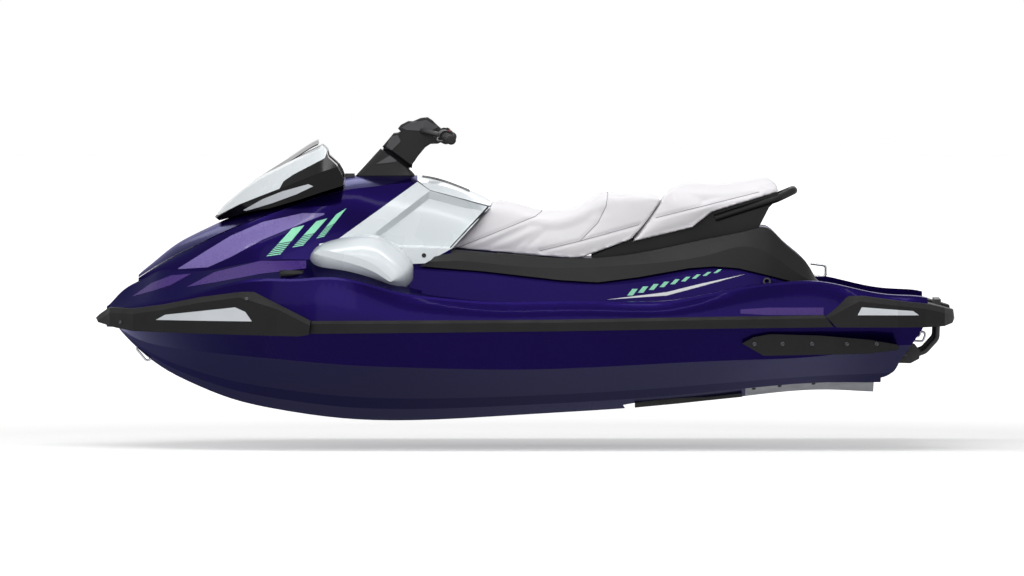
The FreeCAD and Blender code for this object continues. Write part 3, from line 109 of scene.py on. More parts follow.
looks = {
    # Gelcoat with metal flake, sprayed in the mould and buffed: the flake keeps its violet in the highlights
    "gelcoat_buffed": {
        "colour": "#0e0436", "shade": "#150845", "driftMm": 420, "rough": (0.22, 0.28),
        "grain": "noise", "grainMm": 7, "grainDepthMm": 0.05, "grainStrength": 0.12,
        "fixed": {"Metallic": 0.65, "Specular IOR Level": 0.1, "Specular Tint": linear("#7264c8"),
                  "Coat Weight": 0.15, "Coat Roughness": 0.05, "Coat IOR": 1.3}},
    # ABS panel, sprayed silver-white and lacquered: an even pale sheen with soft lamp bands
    "abs_lacquered_silver_white": {
        "colour": "#d3dade", "shade": "#dde3e6", "driftMm": 260, "rough": (0.24, 0.32),
        "grain": "noise", "grainMm": 3, "grainDepthMm": 0.02, "grainStrength": 0.1,
        "fixed": {"Coat Weight": 0.5, "Coat Roughness": 0.08}},
    # Polyethylene bumper, moulded with a spark-eroded grain that keeps it matt
    "polyethylene_grained_black": {
        "colour": "#0d0d0e", "shade": "#151517", "driftMm": 90, "rough": (0.52, 0.66),
        "grain": "cells", "grainMm": 2.2, "grainDepthMm": 0.25, "grainStrength": 0.55,
        "fixed": {"Specular IOR Level": 0.2}},
    # Polypropylene trim, moulded satin: a broad dull highlight on charcoal
    "polypropylene_satin_charcoal": {
        "colour": "#0e0e0f", "shade": "#161617", "driftMm": 140, "rough": (0.40, 0.52),
        "grain": "cells", "grainMm": 1.8, "grainDepthMm": 0.15, "grainStrength": 0.4,
        "fixed": {"Specular IOR Level": 0.2}},
    # ABS of the mirror shells, moulded in a polished tool: near black with a thin clear glint
    "abs_gloss_black": {
        "colour": "#060607", "shade": "#0c0c0e", "driftMm": 200, "rough": (0.10, 0.16),
        "grain": "noise", "grainMm": 5, "grainDepthMm": 0.02, "grainStrength": 0.1,
        "fixed": {"Specular IOR Level": 0.15, "Coat Weight": 0.12, "Coat Roughness": 0.05, "Coat IOR": 1.3}},
    # Mirror glass, silvered behind: a sharp image of what is around it
    "glass_silvered": {
        "colour": "#dfe3e6", "shade": "#d2d7da", "driftMm": 60, "rough": (0.02, 0.05),
        "grain": "noise", "grainMm": 40, "grainDepthMm": 0.01, "grainStrength": 0.05,
        "fixed": {"Metallic": 1.0}},
    # Acrylic of windscreen and display, cast with smoke tint: glossy and almost opaque
    "acrylic_smoked": {
        "colour": "#0b0c10", "shade": "#12131a", "driftMm": 120, "rough": (0.05, 0.09),
        "grain": "noise", "grainMm": 30, "grainDepthMm": 0.01, "grainStrength": 0.05,
        "fixed": {"IOR": 1.49}},
    # ABS of the steering head's covers, moulded with a fine texture: a shade lighter than the shells, a
    # painted highlight on the facets that catch the light
    "abs_textured_painted_highlight": {
        "colour": "#303033", "shade": "#3a3a3d", "driftMm": 40, "rough": (0.36, 0.46),
        "grain": "cells", "grainMm": 1.2, "grainDepthMm": 0.1, "grainStrength": 0.3,
        "fixed": {"Specular IOR Level": 0.4}},
    # ABS of the stop button, moulded in a clear signal red
    "abs_moulded_red": {
        "colour": "#a5161b", "shade": "#931217", "driftMm": 6, "rough": (0.28, 0.36),
        "grain": "noise", "grainMm": 1, "grainDepthMm": 0.02, "grainStrength": 0.15},
    # ABS bumper insert under satin silver paint: a faint metal sheen
    "abs_satin_silver": {
        "colour": "#c3c8cd", "shade": "#d5d9dd", "driftMm": 120, "rough": (0.30, 0.40),
        "grain": "noise", "grainMm": 2, "grainDepthMm": 0.03, "grainStrength": 0.2,
        "fixed": {"Metallic": 0.2}},
    # Marine vinyl, embossed with a fine leather grain and stretched over foam: soft light, small pores
    "vinyl_leather_grain_white": {
        "colour": "#e8e6e9", "shade": "#eeecef", "driftMm": 180, "rough": (0.42, 0.52),
        "grain": "cells", "grainMm": 2.6, "grainDepthMm": 0.3, "grainStrength": 0.35,
        "fixed": {"Sheen Weight": 0.08, "Specular IOR Level": 0.4}},
    # Closed-cell deck foam, brushed: dull, with a short nap
    "eva_foam_brushed": {
        "colour": "#26272a", "shade": "#313237", "driftMm": 60, "rough": (0.75, 0.9),
        "grain": "noise", "grainMm": 1.6, "grainDepthMm": 0.3, "grainStrength": 0.5,
        "fixed": {"Specular IOR Level": 0.2}},
    # Grip and seal rubber, moulded: dull black with a fine skin
    "rubber_moulded_black": {
        "colour": "#151516", "shade": "#202021", "driftMm": 40, "rough": (0.6, 0.75),
        "grain": "noise", "grainMm": 1.2, "grainDepthMm": 0.15, "grainStrength": 0.4,
        "fixed": {"Specular IOR Level": 0.3}},
    # Aluminium, cast and bead blasted: bright grey with a broad soft highlight
    "aluminium_cast_blasted": {
        "colour": "#9fa1a5", "shade": "#8a8c91", "driftMm": 70, "rough": (0.36, 0.5),
        "grain": "noise", "grainMm": 1.6, "grainDepthMm": 0.12, "grainStrength": 0.45,
        "fixed": {"Metallic": 1.0}},
    # Stainless steel, polished: clear reflections, slightly smeared
    "stainless_polished": {
        "colour": "#b9bbbf", "shade": "#a6a8ad", "driftMm": 50, "rough": (0.16, 0.26),
        "grain": "noise", "grainMm": 2, "grainDepthMm": 0.03, "grainStrength": 0.15,
        "fixed": {"Metallic": 1.0}},
    # Steel tube and brackets, powder coated black: satin with a slight orange peel
    "steel_powder_coated": {
        "colour": "#171718", "shade": "#222223", "driftMm": 60, "rough": (0.42, 0.55),
        "grain": "cells", "grainMm": 1.4, "grainDepthMm": 0.1, "grainStrength": 0.35},
    # Glass-filled nylon, injection moulded: dark grey, slightly streaky
    "nylon_glass_filled": {
        "colour": "#232324", "shade": "#2f2f30", "driftMm": 60, "rough": (0.5, 0.62),
        "grain": "noise", "grainMm": 1.5, "grainDepthMm": 0.12, "grainStrength": 0.35,
        "fixed": {"Specular IOR Level": 0.4}},
    # Vinyl films, cut and laid on the gelcoat: flat colour with a thin clear top
    "film_mint": {
        "colour": "#8fe3bd", "shade": "#86dcb4", "driftMm": 60, "rough": (0.25, 0.32),
        "grain": "noise", "grainMm": 6, "grainDepthMm": 0.02, "grainStrength": 0.1,
        "fixed": {"Coat Weight": 0.3}},
    "film_white": {
        "colour": "#eef1f2", "shade": "#e4e8ea", "driftMm": 60, "rough": (0.25, 0.32),
        "grain": "noise", "grainMm": 6, "grainDepthMm": 0.02, "grainStrength": 0.1,
        "fixed": {"Coat Weight": 0.3}},
    "film_lavender_mottled": {
        "colour": "#8577b4", "shade": "#6c5ba3", "driftMm": 26, "rough": (0.25, 0.32),
        "grain": "noise", "grainMm": 6, "grainDepthMm": 0.02, "grainStrength": 0.1,
        "fixed": {"Coat Weight": 0.3}},
    "film_violet_mottled": {
        "colour": "#190a48", "shade": "#3f2672", "driftMm": 26, "rough": (0.25, 0.32),
        "grain": "noise", "grainMm": 6, "grainDepthMm": 0.02, "grainStrength": 0.1,
        "fixed": {"Specular IOR Level": 0.15, "Coat Weight": 0.08, "Coat IOR": 1.3}},
    # Polyester thread and piping, twisted: dull grey
    "thread_grey": {
        "colour": "#a7a2ab", "shade": "#958f9a", "driftMm": 5, "rough": (0.6, 0.75),
        "grain": "noise", "grainMm": 0.8, "grainDepthMm": 0.2, "grainStrength": 0.5},
    # Steel screws, zinc plated and blackened: dark metal with small glints
    "steel_blackened": {
        "colour": "#3a3a3e", "shade": "#4a4a4f", "driftMm": 12, "rough": (0.25, 0.35),
        "grain": "noise", "grainMm": 1, "grainDepthMm": 0.05, "grainStrength": 0.2,
        "fixed": {"Metallic": 0.8}},
}
finishes = {name: surface(name, look) for name, look in looks.items()}

# Mottled films: blotches with hard edges, as printed in two inks
mottles = {"films": {"film_lavender_mottled": {"blotchMm": 16, "edge": 0.42},
                     "film_violet_mottled": {"blotchMm": 12, "edge": 0.37}},
           "edgeWidth": 0.05, "detail": 2.0, "roughness": 0.9}


def mottle(material, blotchMm, edge):
    tree = material.node_tree
    blotch = addNode(tree, "ShaderNodeTexVoronoi", {
        "Vector": nodeOf(material, "ShaderNodeMapping").outputs[0], "Scale": 1 / blotchMm,
        "Detail": mottles["detail"], "Roughness": mottles["roughness"], "Randomness": 1.0},
        distance="CHEBYCHEV")
    ink = addNode(tree, "ShaderNodeMapRange", {"Value": blotch.outputs["Distance"], "From Min": edge,
                                               "From Max": edge + mottles["edgeWidth"]})
    tree.links.new(ink.outputs[0], nodeOf(material, "ShaderNodeMix").inputs["Factor"])


for name, blotches in mottles["films"].items():
    mottle(finishes[name], blotches["blotchMm"], blotches["edge"])

# Foam mats: straight grooves, 3 mm deep; a wave of 38 mm gives a groove every 12 mm
foamGrooves = {"waveMm": 38.0, "low": 0.08, "high": 0.2, "depth": 0.003, "strength": 0.9}


def grooved(material):
    tree = material.node_tree
    wave = addNode(tree, "ShaderNodeTexWave", {"Vector": nodeOf(material, "ShaderNodeMapping").outputs[0],
                                               "Scale": 1 / foamGrooves["waveMm"]}, bands_direction="X")
    depth = addNode(tree, "ShaderNodeMapRange", {"Value": wave.outputs["Fac"], "From Min": foamGrooves["low"],
                                                 "From Max": foamGrooves["high"]})
    grain = nodeOf(material, "ShaderNodeBump")
    cut = addNode(tree, "ShaderNodeBump", {"Height": depth.outputs[0], "Distance": foamGrooves["depth"],
                                           "Strength": foamGrooves["strength"], "Normal": grain.outputs[0]})
    tree.links.new(cut.outputs[0], tree.nodes["Principled BSDF"].inputs["Normal"])


grooved(finishes["eva_foam_brushed"])

nodesIn = {
    "gelcoat_buffed": ("hull", "deck", "cowl", "hood"),
    "abs_lacquered_silver_white": ("console_panels", "splash_deflectors", "glovebox_lid", "visor_caps"),
    "abs_satin_silver": ("accent_blades", "front_inserts", "rear_inserts"),
    "abs_gloss_black": ("mirror_housings",),
    "glass_silvered": ("mirror_glass",),
    "acrylic_smoked": ("windshield", "display"),
    "polyethylene_grained_black": ("rub_rails", "front_bumper", "rear_bumpers", "sponsons", "bow_cleats"),
    "polypropylene_satin_charcoal": ("side_trims", "seat_base", "column_base", "steering_head", "grab_handle",
                                     "switch_pods", "storage_tub", "glovebox_tub"),
    "aluminium_cast_blasted": ("levers", "ride_plate", "pump_housing", "steering_nozzle", "engine_block"),
    "rubber_moulded_black": ("grips",),
    "eva_foam_brushed": ("floor_mats", "platform_mat"),
    "steel_powder_coated": ("handlebar", "steering_stem", "boarding_step", "step_brackets",
                            "bucket_brackets"),
    "nylon_glass_filled": ("reverse_bucket", "drain_plugs", "flush_port", "intake_grate"),
    "stainless_polished": ("impeller", "drive_shaft", "bow_eye", "stern_eyes", "tow_eye"),
    "vinyl_leather_grain_white": ("front_seat", "rear_seat"),
}


def dress(piece, finish):
    piece.data.materials.clear()
    piece.data.materials.append(finishes[finish])


for finish, names in nodesIn.items():
    for name in names:
        dress(nodes[name], finish)
print("finishes made:", len(finishes))

# Meshes: how close points merge, and how raised panels are built
meshing = {"weld": 0.00002, "cut": 0.000001, "stripWeld": 0.0001, "poleWeld": 0.00001, "shortest": 0.00001,
           "facing": 0.05, "panelDepth": 1.5, "cordRounding": 1}
welded = {}
trees = {}


def nodeMesh(name):
    # A node's triangles as one welded bmesh, kept for the next use
    if name not in welded:
        welded[name] = bmesh.new()
        welded[name].from_mesh(nodes[name].data)
        bmesh.ops.remove_doubles(welded[name], verts=welded[name].verts[:], dist=meshing["weld"])
    return welded[name].copy()


def treeOf(name):
    if name not in trees:
        mesh = nodeMesh(name)
        trees[name] = BVHTree.FromBMesh(mesh)
        mesh.free()
    return trees[name]


def surfacePoint(names, origin, direction):
    # Where a ray from outside first meets one of some nodes, with the face normal there
    hits = [treeOf(name).ray_cast(Vector(origin), Vector(direction).normalized()) for name in names]
    point, normal, face, distance = min((hit for hit in hits if hit[0]), key=lambda hit: hit[3])
    return point, normal


def onPort(names, x, z):
    # The skin of some nodes as seen from port
    return surfacePoint(names, (x, outside, z), (0, -1, 0))


def evaluatedCopy(piece):
    return bpy.data.meshes.new_from_object(piece.evaluated_get(bpy.context.evaluated_depsgraph_get()))


def linked(name, data):
    piece = bpy.data.objects.new(name, data)
    bpy.context.scene.collection.objects.link(piece)
    return piece


def addPiece(name, mesh, finish, body, smooth=True):
    # A bmesh becomes a named piece that rides on a body
    data = bpy.data.meshes.new(name)
    mesh.to_mesh(data)
    mesh.free()
    data.shade_smooth() if smooth else data.shade_flat()
    piece = linked(name, data)
    dress(piece, finish)
    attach(piece, body)
    return piece


def merged(parts):
    whole = bmesh.new()
    for part in parts:
        data = bpy.data.meshes.new("part")
        part.to_mesh(data)
        part.free()
        whole.from_mesh(data)
        bpy.data.meshes.remove(data)
    return whole


def withMirror(mesh):
    # A port shape and its mirror image to starboard
    other = mesh.copy()
    bmesh.ops.scale(other, vec=(1, -1, 1), verts=other.verts[:])
    bmesh.ops.reverse_faces(other, faces=other.faces[:])
    return merged([mesh, other])


def skinWithin(nodeName, planes, facing, lift):
    # The part of a node's skin inside some planes (point, outward) that faces one way, lifted off the paint
    mesh = nodeMesh(nodeName)
    for point, outward in planes:
        bmesh.ops.bisect_plane(mesh, geom=mesh.verts[:] + mesh.edges[:] + mesh.faces[:], dist=meshing["cut"],
                               plane_co=point, plane_no=outward, clear_outer=True)
    hidden = [face for face in mesh.faces if face.normal.dot(Vector(facing)) < meshing["facing"]]
    bmesh.ops.delete(mesh, geom=hidden, context="FACES")
    mesh.normal_update()
    for vert in mesh.verts:
        vert.co += vert.normal * lift
    return mesh


def skinInside(nodeName, corners, side, reach, lift):
    # A skin inside a convex outline of the X-Z plane, on one side of the craft
    middle = sum((Vector((x, 0, z)) for x, z in corners), Vector()) / len(corners)
    planes = [((0, side * reach[0], 0), (0, -side, 0)), ((0, side * reach[1], 0), (0, side, 0))]
    for (ax, az), (bx, bz) in zip(corners, corners[1:] + corners[:1]):
        outward = Vector((bz - az, 0, ax - bx))
        if outward.length < meshing["shortest"]:
            continue
        if outward.dot(Vector((ax, 0, az)) - middle) < 0:
            outward.negate()
        planes.append(((ax, 0, az), outward))
    return skinWithin(nodeName, planes, (0, side, 0), lift)


def bandStrips(nodeName, stations, reach, lift):
    # Skins with straight edges between stations (x, low, high), on both sides
    strips = []
    for side in sides:
        for (x0, low0, high0), (x1, low1, high1) in zip(stations, stations[1:]):
            corners = [(x0, low0), (x1, low1), (x1, high1), (x0, high0)]
            strips.append(skinInside(nodeName, corners, side, reach, lift))
    return strips


def raised(mesh, height):
    # A skin becomes a closed panel that stands proud by its height
    for vert in mesh.verts:
        vert.co += vert.normal * height
    bmesh.ops.solidify(mesh, geom=mesh.faces[:], thickness=height * meshing["panelDepth"])
    bmesh.ops.recalc_face_normals(mesh, faces=mesh.faces[:])
    return mesh


def turnedPart(profile, origin, direction, steps):
    # A profile of (along, radius) in metres, turned about a direction
    mesh = bmesh.new()
    line = [mesh.verts.new((radius, 0, along)) for along, radius in profile]
    edges = [mesh.edges.new(ends) for ends in zip(line, line[1:])]
    bmesh.ops.spin(mesh, geom=line + edges, cent=(0, 0, 0), axis=(0, 0, 1), angle=math.tau, steps=steps,
                   use_merge=True)
    bmesh.ops.remove_doubles(mesh, verts=mesh.verts[:], dist=meshing["poleWeld"])
    bmesh.ops.recalc_face_normals(mesh, faces=mesh.faces[:])
    turn = Vector(direction).to_track_quat("Z", "Y").to_matrix().to_4x4()
    bmesh.ops.transform(mesh, matrix=Matrix.Translation(origin) @ turn, verts=mesh.verts[:])
    return mesh


def cordAlong(points, radius, tapers=None):
    # A round cord through the points, as a mesh, with its radius eased by the tapers
    curve = bpy.data.curves.new("cord", "CURVE")
    curve.dimensions = "3D"
    curve.bevel_depth = radius
    curve.bevel_resolution = meshing["cordRounding"]
    curve.use_fill_caps = True
    line = curve.splines.new("POLY")
    line.points.add(len(points) - 1)
    for spot, point, taper in zip(line.points, points, tapers or [1.0] * len(points)):
        spot.co = (*point, 1)
        spot.radius = taper
    holder = linked("cord", curve)
    data = evaluatedCopy(holder)
    mesh = bmesh.new()
    mesh.from_mesh(data)
    bpy.data.objects.remove(holder)
    bpy.data.meshes.remove(data)
    return mesh


# Films on the paint of bow and flanks, as stations (x, low, high)
films = {
    "lift": 0.0006, "upperLift": 0.0009, "reach": (0.02, 0.8), "innerReach": (0.05, 0.8),
    "flankReach": (0.1, 0.45), "sternReach": (0.2, 0.8),
    "lavender": [(1.352, 0.363, 0.366), (1.2354, 0.3719, 0.4397), (1.1459, 0.4124, 0.4942),
                 (1.0214, 0.4805, 0.5486), (0.8657, 0.5447, 0.5837), (0.78, 0.5787, 0.5837)],
    "bow": [(1.535, 0.2529, 0.2529), (1.4572, 0.2762, 0.3074), (1.3794, 0.302, 0.3385),
            (1.3015, 0.3463, 0.3463)],
    "shoulder": [(1.3171, 0.2957, 0.2957), (1.2082, 0.3152, 0.3541), (1.0292, 0.3502, 0.3988),
                 (0.8502, 0.3719, 0.4008)],
    "wedge": [(-0.32, 0.246, 0.246), (-0.5545, 0.262, 0.2755), (-0.6829, 0.2965, 0.3075),
              (-0.8619, 0.3463, 0.3463)],
    "stern": [(-0.8385, 0.200, 0.216), (-0.95, 0.194, 0.223), (-1.161, 0.194, 0.223)],
}


def filmBand(name, nodeName, stations, finish, reach):
    whole = merged(bandStrips(nodeName, stations, reach, films["lift"]))
    bmesh.ops.remove_doubles(whole, verts=whole.verts[:], dist=meshing["stripWeld"])
    addPiece(name, whole, finish, "craft")


filmBand("lavender_band", "cowl", films["lavender"], "film_lavender_mottled", films["reach"])
filmBand("bow_blotches", "deck", films["bow"], "film_violet_mottled", films["reach"])
filmBand("shoulder_blotches", "deck", films["shoulder"], "film_violet_mottled", films["reach"])
filmBand("flank_wedge", "deck", films["wedge"], "film_white", films["flankReach"])

# Slanted mint strokes, a plain pattern with hatched feet; corners (x, z): foot, foot end, top end, top
strokes = {
    "bars": [[(1.0058, 0.4163), (0.9513, 0.4241), (0.858, 0.537), (0.9047, 0.5253)],
             [(0.9047, 0.4514), (0.8619, 0.4591), (0.7685, 0.5642), (0.8113, 0.5525)],
             [(0.8113, 0.4864), (0.7801, 0.4942), (0.6945, 0.6031), (0.7335, 0.5798)]],
    "solidShare": 0.55, "hatches": 6, "hatchShare": 0.55,
}


def between(start, end, share):
    # A point on the way from one corner to another
    return tuple(a + (b - a) * share for a, b in zip(start, end))


def mintStrokes():
    solidStart = 1 - strokes["solidShare"]
    pitch = solidStart / strokes["hatches"]
    spans = [(solidStart, 1.0)]
    spans += [(i * pitch, (i + strokes["hatchShare"]) * pitch) for i in range(strokes["hatches"])]
    parts = []
    for side in sides:
        for foot, footEnd, topEnd, top in strokes["bars"]:
            for start, end in spans:
                corners = [between(foot, top, start), between(footEnd, topEnd, start),
                           between(footEnd, topEnd, end), between(foot, top, end)]
                parts.append(skinInside("cowl", corners, side, films["innerReach"], films["upperLift"]))
    return merged(parts)


addPiece("mint_strokes", mintStrokes(), "film_mint", "craft")

# Short mint dashes over the flank wedge, each smaller than the one before
dashes = {"count": 9, "start": -0.40, "pitch": -0.042, "low": 0.262, "rise": 0.011, "height": 0.026,
          "heightLoss": 0.06, "width": 0.022, "widthLoss": 0.05, "slant": -0.02}


def flankDashes():
    parts = []
    for side in sides:
        for i in range(dashes["count"]):
            x = dashes["start"] + dashes["pitch"] * i
            low = dashes["low"] + dashes["rise"] * i
            high = low + dashes["height"] * (1 - dashes["heightLoss"] * i)
            wide = dashes["width"] * (1 - dashes["widthLoss"] * i)
            corners = [(x, low), (x - wide, low), (x - wide + dashes["slant"], high),
                       (x + dashes["slant"], high)]
            parts.append(skinInside("deck", corners, side, films["flankReach"], films["upperLift"]))
    return merged(parts)


addPiece("flank_dashes", flankDashes(), "film_mint", "craft")
print("films laid")

# Seats: voxel remesh, cloth under pressure, then seams
seatPads = {
    "pads": {"front_seat": "front_seat_pad", "rear_seat": "rear_seat_pad"},
    "voxel": 0.008, "inset": 0.004,
    "insetFrom": -0.6, "insetFade": 0.4,   # the inset is full where a normal's z is above -0.2
    "heldUnder": -0.25, "heldEnds": 0.85,  # skin that faces down, or to bow and stern, is held
    "pressure": 4.0, "frames": 20, "cap": 0.010, "quality": 5, "stiffness": 25, "bending": 2,
    "smoothings": 2, "smoothing": 0.5, "roundness": 0.6,
}
seams = {
    # Side runs as (x, z), and whether the run crosses the top to the other side
    "front_seat": [([(0.2626, 0.4447), (0.0875, 0.5159), (-0.0397, 0.5681), (-0.0673, 0.5895)], True),
                   ([(-0.216, 0.4728), (-0.286, 0.5447), (-0.3171, 0.607), (-0.3249, 0.6576)], True),
                   ([(-0.0603, 0.4338), (-0.216, 0.4728), (-0.4475, 0.537)], False)],
    "rear_seat": [([(-0.5117, 0.5642), (-0.9163, 0.6654)], False)],
    "pitch": 0.004, "beam": 0.8, "grooveDepth": 0.003, "grooveWidth": 0.008, "grooveReach": 2.5,
    "threadRadius": 0.0014, "threadProud": 0.4,
}


def swell(pad):
    # Cloth under pressure, run here and kept as a plain mesh; no point moves further than the cap
    start = [vert.co.copy() for vert in pad.data.vertices]
    held = pad.vertex_groups.new(name="held")
    for vert in pad.data.vertices:
        if vert.normal.z < seatPads["heldUnder"] or abs(vert.normal.x) > seatPads["heldEnds"]:
            held.add([vert.index], 1.0, "REPLACE")
    cloth = pad.modifiers.new("swell", "CLOTH")
    cloth.settings.quality = seatPads["quality"]
    cloth.settings.use_pressure = True
    cloth.settings.uniform_pressure_force = seatPads["pressure"]
    cloth.settings.tension_stiffness = seatPads["stiffness"]
    cloth.settings.compression_stiffness = seatPads["stiffness"]
    cloth.settings.bending_stiffness = seatPads["bending"]
    cloth.settings.effector_weights.gravity = 0
    cloth.settings.vertex_group_mass = "held"
    cloth.collision_settings.use_collision = False
    for number in range(1, seatPads["frames"] + 1):
        bpy.context.scene.frame_set(number)
    swollen = evaluatedCopy(pad)
    pad.modifiers.clear()
    pad.data = swollen
    bpy.context.scene.frame_set(1)
    for vert, before in zip(pad.data.vertices, start):
        moved = vert.co - before
        if moved.length > seatPads["cap"]:
            vert.co = before + moved.normalized() * seatPads["cap"]


def seatPad(nodeName, padName):
    mesh = nodeMesh(nodeName)
    data = bpy.data.meshes.new(padName)
    mesh.to_mesh(data)
    mesh.free()
    pad = linked(padName, data)
    remesh = pad.modifiers.new("voxels", "REMESH")
    remesh.mode = "VOXEL"
    remesh.voxel_size = seatPads["voxel"]
    pad.data = evaluatedCopy(pad)
    pad.modifiers.clear()
    for vert, normal in zip(pad.data.vertices, [v.normal.copy() for v in pad.data.vertices]):
        share = min(1, max(0, (normal.z - seatPads["insetFrom"]) / seatPads["insetFade"]))
        vert.co -= normal * seatPads["inset"] * share
    swell(pad)
    smooth = bmesh.new()
    smooth.from_mesh(pad.data)
    for step in range(seatPads["smoothings"]):
        bmesh.ops.smooth_vert(smooth, verts=smooth.verts[:], factor=seatPads["smoothing"], use_axis_x=True,
                              use_axis_y=True, use_axis_z=True)
    bmesh.ops.subdivide_edges(smooth, edges=smooth.edges[:], cuts=1, use_grid_fill=True,
                              smooth=seatPads["roundness"])
    smooth.to_mesh(pad.data)
    smooth.free()
    pad.data.shade_smooth()
    dress(pad, "vinyl_leather_grain_white")
    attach(pad, "craft")
    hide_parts(nodeName)
    return pad


pads = {nodeName: seatPad(nodeName, padName) for nodeName, padName in seatPads["pads"].items()}
print("seats swollen")


def evenly(points, pitch):
    # A broken line cut into even steps
    spots = []
    for start, end in zip(points, points[1:]):
        start, end = Vector(start), Vector(end)
        count = max(1, round((end - start).length / pitch))
        spots += [start.lerp(end, i / count) for i in range(count)]
    return spots + [Vector(points[-1])]


def padTree(pad):
    corners = [vert.co for vert in pad.data.vertices]
    return BVHTree.FromPolygons(corners, [face.vertices[:] for face in pad.data.polygons])


def seamRuns(tree, run, over):
    # Surface points of a seam on port, then across the top and down to starboard
    port = []
    for x, z in evenly(run, seams["pitch"]):
        point = tree.ray_cast(Vector((x, seams["beam"], z)), Vector((0, -1, 0)))[0]
        if point:
            port.append(point)
    starboard = [Vector((p.x, -p.y, p.z)) for p in port]
    if not over:
        return [port, starboard]
    reach = port[-1].y
    count = round(2 * reach / seams["pitch"])
    top = []
    for i in range(1, count):
        above = Vector((port[-1].x, reach - 2 * reach * i / count, outside))
        point = tree.ray_cast(above, Vector((0, 0, -1)))[0]
        if point:
            top.append(point)
    return [port + top + starboard[::-1]]


def pressGrooves(pad, runs):
    # A sewn-in groove along each run
    spots = [spot for line in runs for spot in line]
    finder = KDTree(len(spots))
    for i, spot in enumerate(spots):
        finder.insert(spot, i)
    finder.balance()
    for vert, normal in [(vert, vert.normal.copy()) for vert in pad.data.vertices]:
        away = finder.find(vert.co)[2] / seams["grooveWidth"]
        if away < seams["grooveReach"]:
            vert.co -= normal * seams["grooveDepth"] * math.exp(-away * away)
    pad.data.update()


def piping(pad, runs):
    # A grey cord that lies in the grooves
    tree = padTree(pad)
    cords = []
    for line in runs:
        laid = [tree.find_nearest(spot)[:2] for spot in line]
        points = [spot + normal * seams["threadRadius"] * seams["threadProud"] for spot, normal in laid]
        cords.append(cordAlong(points, seams["threadRadius"]))
    return merged(cords)


for nodeName, pad in pads.items():
    bareTree = padTree(pad)
    runs = [line for run, over in seams[nodeName] for line in seamRuns(bareTree, run, over)]
    pressGrooves(pad, runs)
    addPiece(nodeName + "_piping", piping(pad, runs), "thread_grey", "craft")
print("seams sewn")

# Screws and plugs: turned heads with a round socket, their profiles in shares of the radius
fixings = {
    "screw": [(-0.2, 0), (-0.2, 1), (0.28, 1), (0.5, 0.72), (0.5, 0.42), (0.15, 0.36), (0.15, 0)],
    "plug": [(-0.2, 0), (-0.2, 1), (0.12, 1), (0.2, 0.9), (0.2, 0.62), (0.12, 0.56), (0.16, 0)],
    "steps": 20, "below": -1.0,
    "beside": {
        "sponson_bolts": {"node": "sponsons", "kind": "screw", "radius": 0.009, "finish": "steel_blackened",
                          "spots": [(-0.893, 0.0817), (-1.0019, 0.0817), (-1.1167, 0.0817), (-1.2525, 0.0817),
                                    (-1.3677, 0.0817)]},
        "bumper_screws": {"node": "front_bumper", "kind": "screw", "radius": 0.008,
                          "finish": "steel_blackened", "spots": [(1.0809, 0.2552), (1.5778, 0.1556)]},
        "console_plugs": {"node": "console_panels", "kind": "plug", "radius": 0.009,
                          "finish": "rubber_moulded_black", "spots": [(0.3926, 0.4187)]},
    },
    "rideBolts": [(-0.8969, 0.1), (-0.998, 0.1), (-1.1303, 0.1)], "rideRadius": 0.008,
}


def fixing(kind, radius, place, outward):
    profile = [(along * radius, across * radius) for along, across in fixings[kind]]
    return turnedPart(profile, place, outward, fixings["steps"])


for name, row in fixings["beside"].items():
    heads = []
    for side in sides:
        for x, z in row["spots"]:
            point, normal = surfacePoint([row["node"]], (x, outside * side, z), (0, -side, 0))
            heads.append(fixing(row["kind"], row["radius"], point, normal))
    addPiece(name, merged(heads), row["finish"], "craft")

rideHeads = []
for x, y in fixings["rideBolts"]:
    for side in sides:
        point, normal = surfacePoint(["ride_plate"], (x, y * side, fixings["below"]), (0, 0, 1))
        rideHeads.append(fixing("screw", fixings["rideRadius"], point, normal))
addPiece("ride_plate_bolts", merged(rideHeads), "steel_blackened", "craft")

# Grips: moulded sleeves with rings, a flange inboard and a rounded end
grips = {
    "outer": (0.285, 0.372, 0.870), "inner": (0.316, 0.196, 0.882), "radius": 0.0172, "ring": 0.0187,
    "steps": 32, "nose": [(-0.003, 0.0), (-0.003, 0.011), (-0.001, 0.0155), (0.002, 0.0187), (0.008, 0.0187),
                          (0.009, 0.0172)],
    "flange": [(0.111, 0.0172), (0.113, 0.0194), (0.119, 0.0194), (0.120, 0.017), (0.120, 0.0)],
    "rings": 14, "start": 0.012, "pitch": 0.0066, "ringEdges": (0.0012, 0.0042, 0.0054),
}
gripOuter = Vector(grips["outer"])
inward = Vector(grips["inner"]) - gripOuter
gripAxis = inward.normalized()


def gripSleeve():
    profile = list(grips["nose"])
    rise, top, fall = grips["ringEdges"]
    for i in range(grips["rings"]):
        at = grips["start"] + grips["pitch"] * i
        profile += [(at, grips["radius"]), (at + rise, grips["ring"]), (at + top, grips["ring"]),
                    (at + fall, grips["radius"])]
    return turnedPart(profile + grips["flange"], gripOuter, inward, grips["steps"])


grip = addPiece("ringed_grips", withMirror(gripSleeve()), "rubber_moulded_black", "handlebar_body",
                smooth=False)
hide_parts("grips")

# Levers: bent blades that taper to a small ball
levers = {
    "pivotFromOuter": 0.136, "pivotShift": (0.026, 0, -0.004), "tipShift": (0.034, -0.026, -0.006),
    "bulge": (0.012, 0, -0.002), "radius": 0.0058,
    "tapers": [1.0, 1.05, 0.95, 0.85, 0.78, 0.72, 0.68, 0.68, 0.72, 1.0, 0.9],
}


